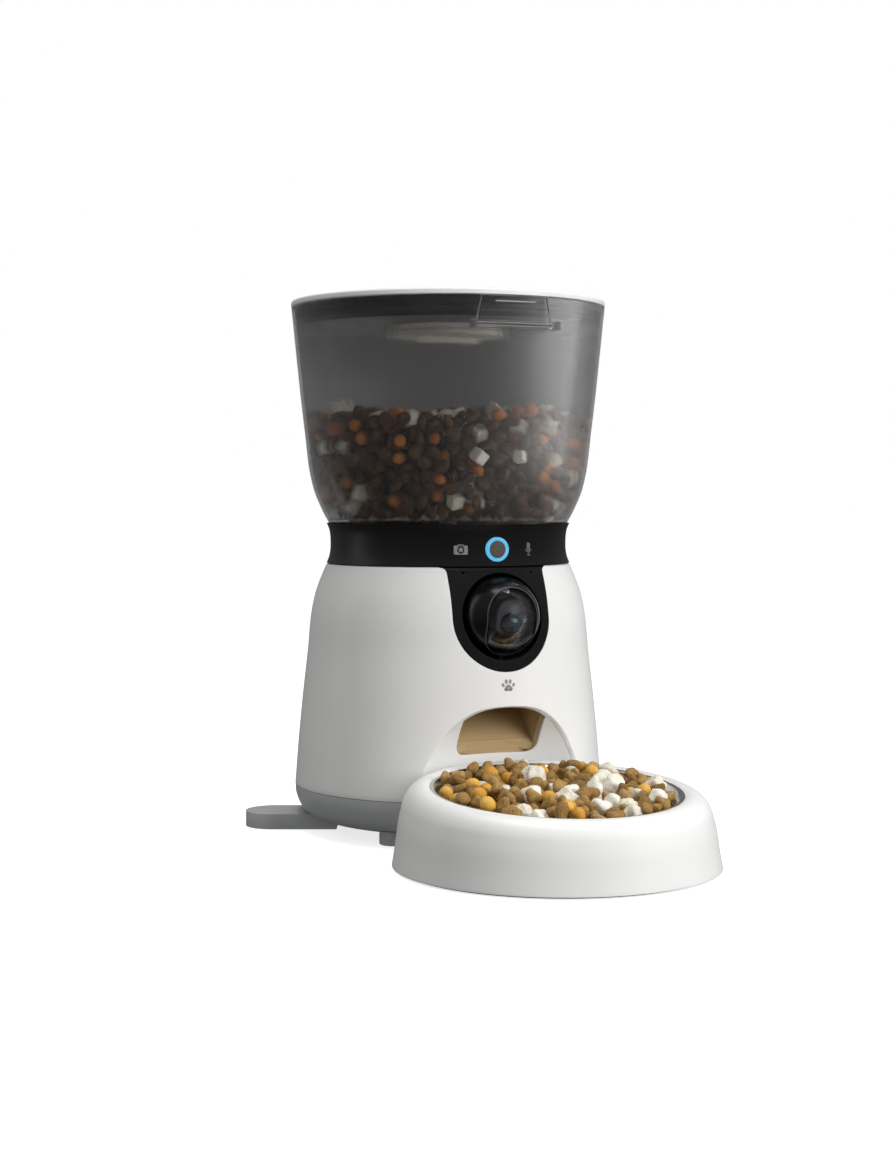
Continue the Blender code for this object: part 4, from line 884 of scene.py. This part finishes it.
# ================================================================ food
def lump(kind, number, fineness):
    """One piece of food about 10 mm across: its corners in millimetres and its faces.  A cube
    keeps its few faces; the other kinds are pressed out of a ball."""
    shape = bmesh.new()
    dice = random.Random(97 * number + len(kind))
    if kind == "cube":
        bmesh.ops.create_cube(shape, size=7.4)
        bmesh.ops.bevel(shape, geom=shape.edges[:], offset=0.9, segments=2, profile=0.5, affect="EDGES")
    else:
        bmesh.ops.create_icosphere(shape, subdivisions=fineness, radius=5.0)
    roughness = {"disc": 0.3, "ball": 0.22, "pillow": 0.35, "cube": 0.35, "bean": 0.7, "chunk": 1.25}[kind]
    waves = [(Vector([dice.uniform(-1, 1) for _ in range(3)]).normalized(), dice.uniform(0.35, 1.3),
              dice.uniform(0, 6.3)) for _ in range(9)]
    for vert in shape.verts:
        x, y, z = vert.co
        if kind == "disc":
            spread = math.hypot(x, y) / 5.0
            z *= 0.62 if spread > 0.55 else 0.62 - 0.3 * (0.55 - spread) / 0.55
            x, y = x * 1.12, y * 1.06
        elif kind == "bean":
            x, y, z = x * 1.3, y * 0.86 + 0.9 * math.cos(x * 0.62), z * 0.84
        elif kind == "pillow":
            x, y, z = x * 1.25, y * 0.95, z * 0.66
        elif kind == "ball":
            y, z = y * 0.96, z * 0.88
        elif kind == "chunk":
            x, y, z = [4.6 * math.copysign(min(abs(c) / 4.4, 1.0) ** 0.8, c) for c in (x, y * 1.08, z * 0.86)]
        away = Vector((x, y, z))
        push = sum(math.sin(away.dot(axis) * rate + start) for axis, rate, start in waves) / 3
        vert.co = away + away.normalized() * push * roughness
    corners = [v.co.copy() for v in shape.verts]
    faces = [[v.index for v in face.verts] for face in shape.faces]
    shape.free()
    return corners, faces


FINE, COARSE = 3, 2         # in the open bowl, and behind the hopper's frosted wall
LUMPS = {(kind, fineness): [lump(kind, number, fineness) for number in range(4)]
         for kind in ("disc", "ball", "pillow", "cube", "bean", "chunk") for fineness in (COARSE, FINE)}


def poured(inside, level, parts, tries, rng):
    """Drop pieces one by one where they come to rest lowest, until the space is full.

    inside is a Bin; level(x, y) is the top surface; parts lists kinds of food with their share
    and radius.  Each piece is a place, a radius and a kind."""
    placed = []
    cells = {}
    size = 2.1 * max(radius for _, _, radius in parts)
    misses = 0
    while misses < 40:
        kind, _, usual = parts[pick_share(rng, [share for _, share, _ in parts])]
        radius = usual * rng.uniform(0.88, 1.12)
        best = None
        for _ in range(tries):
            a, r = rng.uniform(0, 2 * math.pi), inside.reach * math.sqrt(rng.random())
            x, y = r * math.cos(a), r * math.sin(a)
            z = inside(x, y, radius)
            if z is None:
                continue
            cx, cy = int(x // size), int(y // size)
            for cell in [(i, j) for i in (cx - 1, cx, cx + 1) for j in (cy - 1, cy, cy + 1)]:
                for px, py, pz, pr, _ in cells.get(cell, ()):
                    gap = (px - x) ** 2 + (py - y) ** 2
                    reach = (pr + radius) * 0.93
                    if gap < reach * reach:
                        z = max(z, pz + math.sqrt(reach * reach - gap))
            if best is None or z < best[2]:
                best = (x, y, z, radius, kind)
        if best is None or best[2] > level(best[0], best[1]):
            misses += 1
            continue
        placed.append(best)
        cells.setdefault((int(best[0] // size), int(best[1] // size)), []).append(best)
    return placed


def pick_share(rng, shares):
    """A place in the list, as often as its share."""
    left = rng.uniform(0, sum(shares))
    for number, share in enumerate(shares):
        left -= share
        if left <= 0:
            return number
    return 0


class Bin:
    """A round container's inside, from an outline of its wall and floor."""

    def __init__(self, outline, reach):
        self.rooms = sorted(outline, key=lambda p: p[1])
        self.reach = reach

    def __call__(self, x, y, radius):
        """Lowest height at which a piece this big fits here."""
        spread = math.hypot(x, y) + radius
        for room, height in self.rooms:
            if spread <= room:
                return height + radius
        return None


def pour_mesh(name, kind, spots, finish, place, rng, fineness):
    """One mesh of many loose pieces of food."""
    corners, faces = [], []
    for x, y, z, radius, _ in spots:
        shape, sides = LUMPS[kind, fineness][rng.randrange(4)]
        facing = Vector((rng.gauss(0, 1), rng.gauss(0, 1), rng.gauss(0, 1)))
        turn = facing.to_track_quat("Z", "Y").to_matrix() @ Matrix.Rotation(rng.uniform(0, 6.28), 3, "Z")
        scale = radius / 5.0 * MM
        start = len(corners)
        at = Vector((x, y, z)) * MM
        corners.extend(at + turn @ corner * scale for corner in shape)
        faces.extend([start + i for i in side] for side in sides)
    mesh = bpy.data.meshes.new(name)
    mesh.from_pydata(corners, [], faces)
    mesh.shade_smooth()
    return new_object(name, mesh, finish, place)


def make_food():
    """Mixed food heaped in the bowl, and dry food filling the hopper to about half."""
    def heap(x, y):
        return 2.0 + 3.0 * (1 - (math.hypot(x, y) / 66) ** 2)

    dish = Bin([(r, z) for r, z in inside_of(BOWL_LINE, -0.6) if r > 2], 66.5)
    mix = [("bean", 5.0, 3.9), ("chunk", 1.9, 5.2), ("ball", 2.0, 4.2), ("pillow", 1.6, 4.2)]
    spots = poured(dish, heap, mix, 24, CHOOSE)
    for kind, name, finish in (("bean", "brown_beans", BROWN_FOOD), ("chunk", "cream_chunks", CREAM_FOOD),
                               ("ball", "golden_balls", GOLD_FOOD), ("pillow", "tan_pillows", TAN_FOOD)):
        mine = [spot for spot in spots if spot[4] == kind]
        place = Matrix.Translation(DISH) @ LEAN
        piece = pour_mesh(f"food_in_bowl_{name}", kind, mine, finish, place, CHOOSE, FINE)
        finished(piece, "steel_bowl", "nylon")

    full = 251.5        # height that the hopper is filled to

    def fill_level(x, y):
        return full + 2.0 * math.sin(x / 21.0) + 1.5 * math.cos(y / 17.0)

    def kept(spot):
        """Leave out what nobody can see, and the space that the stirrer sweeps."""
        spread, z = math.hypot(spot[0], spot[1]), spot[2]
        if z < 217 and spread < 41:
            return False
        return spread > radius_at(HOPPER_LINE, z) - 27 or z > full - 14 or z < 196

    wall = [(r, z) for r, z in moved_in(HOPPER_LINE, 2.6) if 187 < z < 262]
    mix = [("disc", 7.6, 4.2), ("cube", 0.9, 5.0), ("ball", 1.3, 4.0)]
    spots = poured(Bin(wall, max(r for r, _ in wall)), fill_level, mix, 10, CHOOSE)
    for kind, name, finish in (("disc", "brown_discs", DARK_FOOD), ("cube", "cream_cubes", CREAM_FOOD),
                               ("ball", "orange_balls", ORANGE_FOOD)):
        mine = [spot for spot in spots if spot[4] == kind and kept(spot)]
        place = Matrix.Translation(AXIS)
        piece = pour_mesh(f"food_in_hopper_{name}", kind, mine, finish, place, CHOOSE, COARSE)
        finished(piece, "hopper", "nylon")


# ================================================================ nodes kept as they are
def finish_plain_nodes():
    kept = {
        BOARD: ["button_board", "main_board"],
        PLATED: ["drive_motor", "drive_shaft", "idler_pin", "motor_pinion", "pan_motor",
                 "gearbox_screw_1", "gearbox_screw_2", "gearbox_screw_3", "gearbox_screw_4"],
        NYLON: ["idler_gear", "output_gear", "desiccant_cap"],
        BEIGE: ["chute"],
        SMOKE_CLEAR: ["latch_pin"],
        PAPER_WHITE: ["rotor", "stirrer", "desiccant_box"],
        BLACK: ["outlet_shield", "power_socket", "rotor_chamber", "speaker", "pan_spindle"],
        DARK_GREY: ["gearbox_cover", "gearbox_housing", "battery_door", "reset_button"],
        SLEEVE: ["battery_cell_1", "battery_cell_2", "battery_cell_3"],
    }
    for finish, names in kept.items():
        for name in names:
            node = NODES[name]
            node.data.materials.clear()
            node.data.materials.append(finish)


# ================================================================ studio
def soft_light(name, size, watts, place, towards):
    """A white softbox at a place, facing a point."""
    lamp = bpy.data.lights.new(name, "AREA")
    lamp.shape = "RECTANGLE"
    lamp.size, lamp.size_y = size
    lamp.energy = watts
    obj = bpy.data.objects.new(name, lamp)
    obj.location = place
    obj.rotation_euler = (Vector(towards) - Vector(place)).to_track_quat("-Z", "Y").to_euler()
    bpy.context.scene.collection.objects.link(obj)
    return obj


def shine_only_on(lamp, name):
    """Flag a softbox off from everything but one piece."""
    only = bpy.data.collections.new(f"lit by {lamp.name}")
    only.objects.link(bpy.data.objects[name])
    lamp.light_linking.receiver_collection = only


def make_studio():
    """A studio that is white behind the feeder and lights it from dimmer, graded walls."""
    scene = bpy.context.scene
    scene.view_settings.view_transform = "Standard"
    scene.view_settings.look = "None"

    world = bpy.data.worlds.new("white studio")
    scene.world = world
    world.use_nodes = True
    tree = world.node_tree
    room = tree.nodes["Background"]
    where = add(tree, "ShaderNodeTexCoord").outputs["Generated"]
    height = add(tree, "ShaderNodeSeparateXYZ", {"Vector": where}).outputs["Z"]
    sky = add(tree, "ShaderNodeMapRange", {"Value": height, "From Min": -0.3, "From Max": 0.4,
                                           "To Min": 0.15, "To Max": 0.45})
    rays = add(tree, "ShaderNodeLightPath")
    dim = add(tree, "ShaderNodeMapRange", {"Value": rays.outputs["Is Glossy Ray"], "To Min": 1.0,
                                           "To Max": 0.45})
    tree.links.new(sky.outputs["Result"], room.inputs["Color"])
    tree.links.new(dim.outputs["Result"], room.inputs["Strength"])
    seen = add(tree, "ShaderNodeBackground", {"Color": (1, 1, 1, 1), "Strength": 1.0})
    which = add(tree, "ShaderNodeMixShader", {0: rays.outputs["Is Camera Ray"],
                                              1: room.outputs[0], 2: seen.outputs[0]})
    tree.links.new(which.outputs[0], tree.nodes["World Output"].inputs["Surface"])

    paper, tree, shader = new_finish("seamless paper, white", Roughness=0.9, Emission_Strength=0.72)
    mottle(tree, shader, surface_noise(tree, 400), srgb("#E2E2E1"), srgb("#E6E6E5"))
    shader.inputs["Emission Color"].default_value = (1, 1, 1, 1)
    mesh = bpy.data.meshes.new("paper_floor")
    corners = [(x, y, -0.2 * MM) for x, y in ((-6, -6), (6, -6), (6, 6), (-6, 6))]
    mesh.from_pydata(corners, [], [(0, 1, 2, 3)])
    floor = new_object("paper_floor", mesh, paper)
    floor.visible_diffuse = False       # its glow neither lights the feeder
    floor.visible_glossy = False        # nor shows in the steel and the gloss black

    key = soft_light("key_softbox", (1.1, 1.3), 30, (0.92, -1.66, 0.75), (0.0, 0.0, 0.15))
    key.visible_glossy = False
    soft_light("top_softbox", (0.9, 0.9), 10, (0.0, 0.1, 1.5), (0.0, 0.0, 0.1))
    haze = soft_light("hopper_softbox", (1.5, 1.5), 92, (1.58, -0.72, 0.5), (0.0, 0.07, 0.26))
    shine_only_on(haze, "smoke_hopper")
    catch = soft_light("lens_catch_light", (0.3, 0.3), 25, BALL + Vector((0.482, -0.82, 0.15)), BALL)
    shine_only_on(catch, "lens_glass")
    soft_light("edge_strip", (0.25, 1.2), 0.8, (-1.0, 0.6, 0.5), (0.0, 0.05, 0.2))


def make_camera_view():
    """From the left front, about level with the hopper's foot, tipped down a little."""
    lens = bpy.data.cameras.new("view")
    lens.sensor_fit = "VERTICAL"
    lens.sensor_height = 36
    lens.lens = 62.5
    view = bpy.data.objects.new("view", lens)
    turn, tip = math.radians(-23.3), math.radians(2.4)
    away, height = 1.221, 0.204
    view.location = (AXIS.x + away * math.sin(turn), AXIS.y - away * math.cos(turn), height)
    view.rotation_euler = (math.pi / 2 - tip, 0, turn)
    bpy.context.scene.collection.objects.link(view)
    bpy.context.scene.camera = view


make_body()
make_band()
make_marks()
make_hopper()
make_lid()
make_camera()
make_bowl()
make_feet()
finish_plain_nodes()
if FOOD_SHOWN:
    make_food()
make_studio()
make_camera_view()
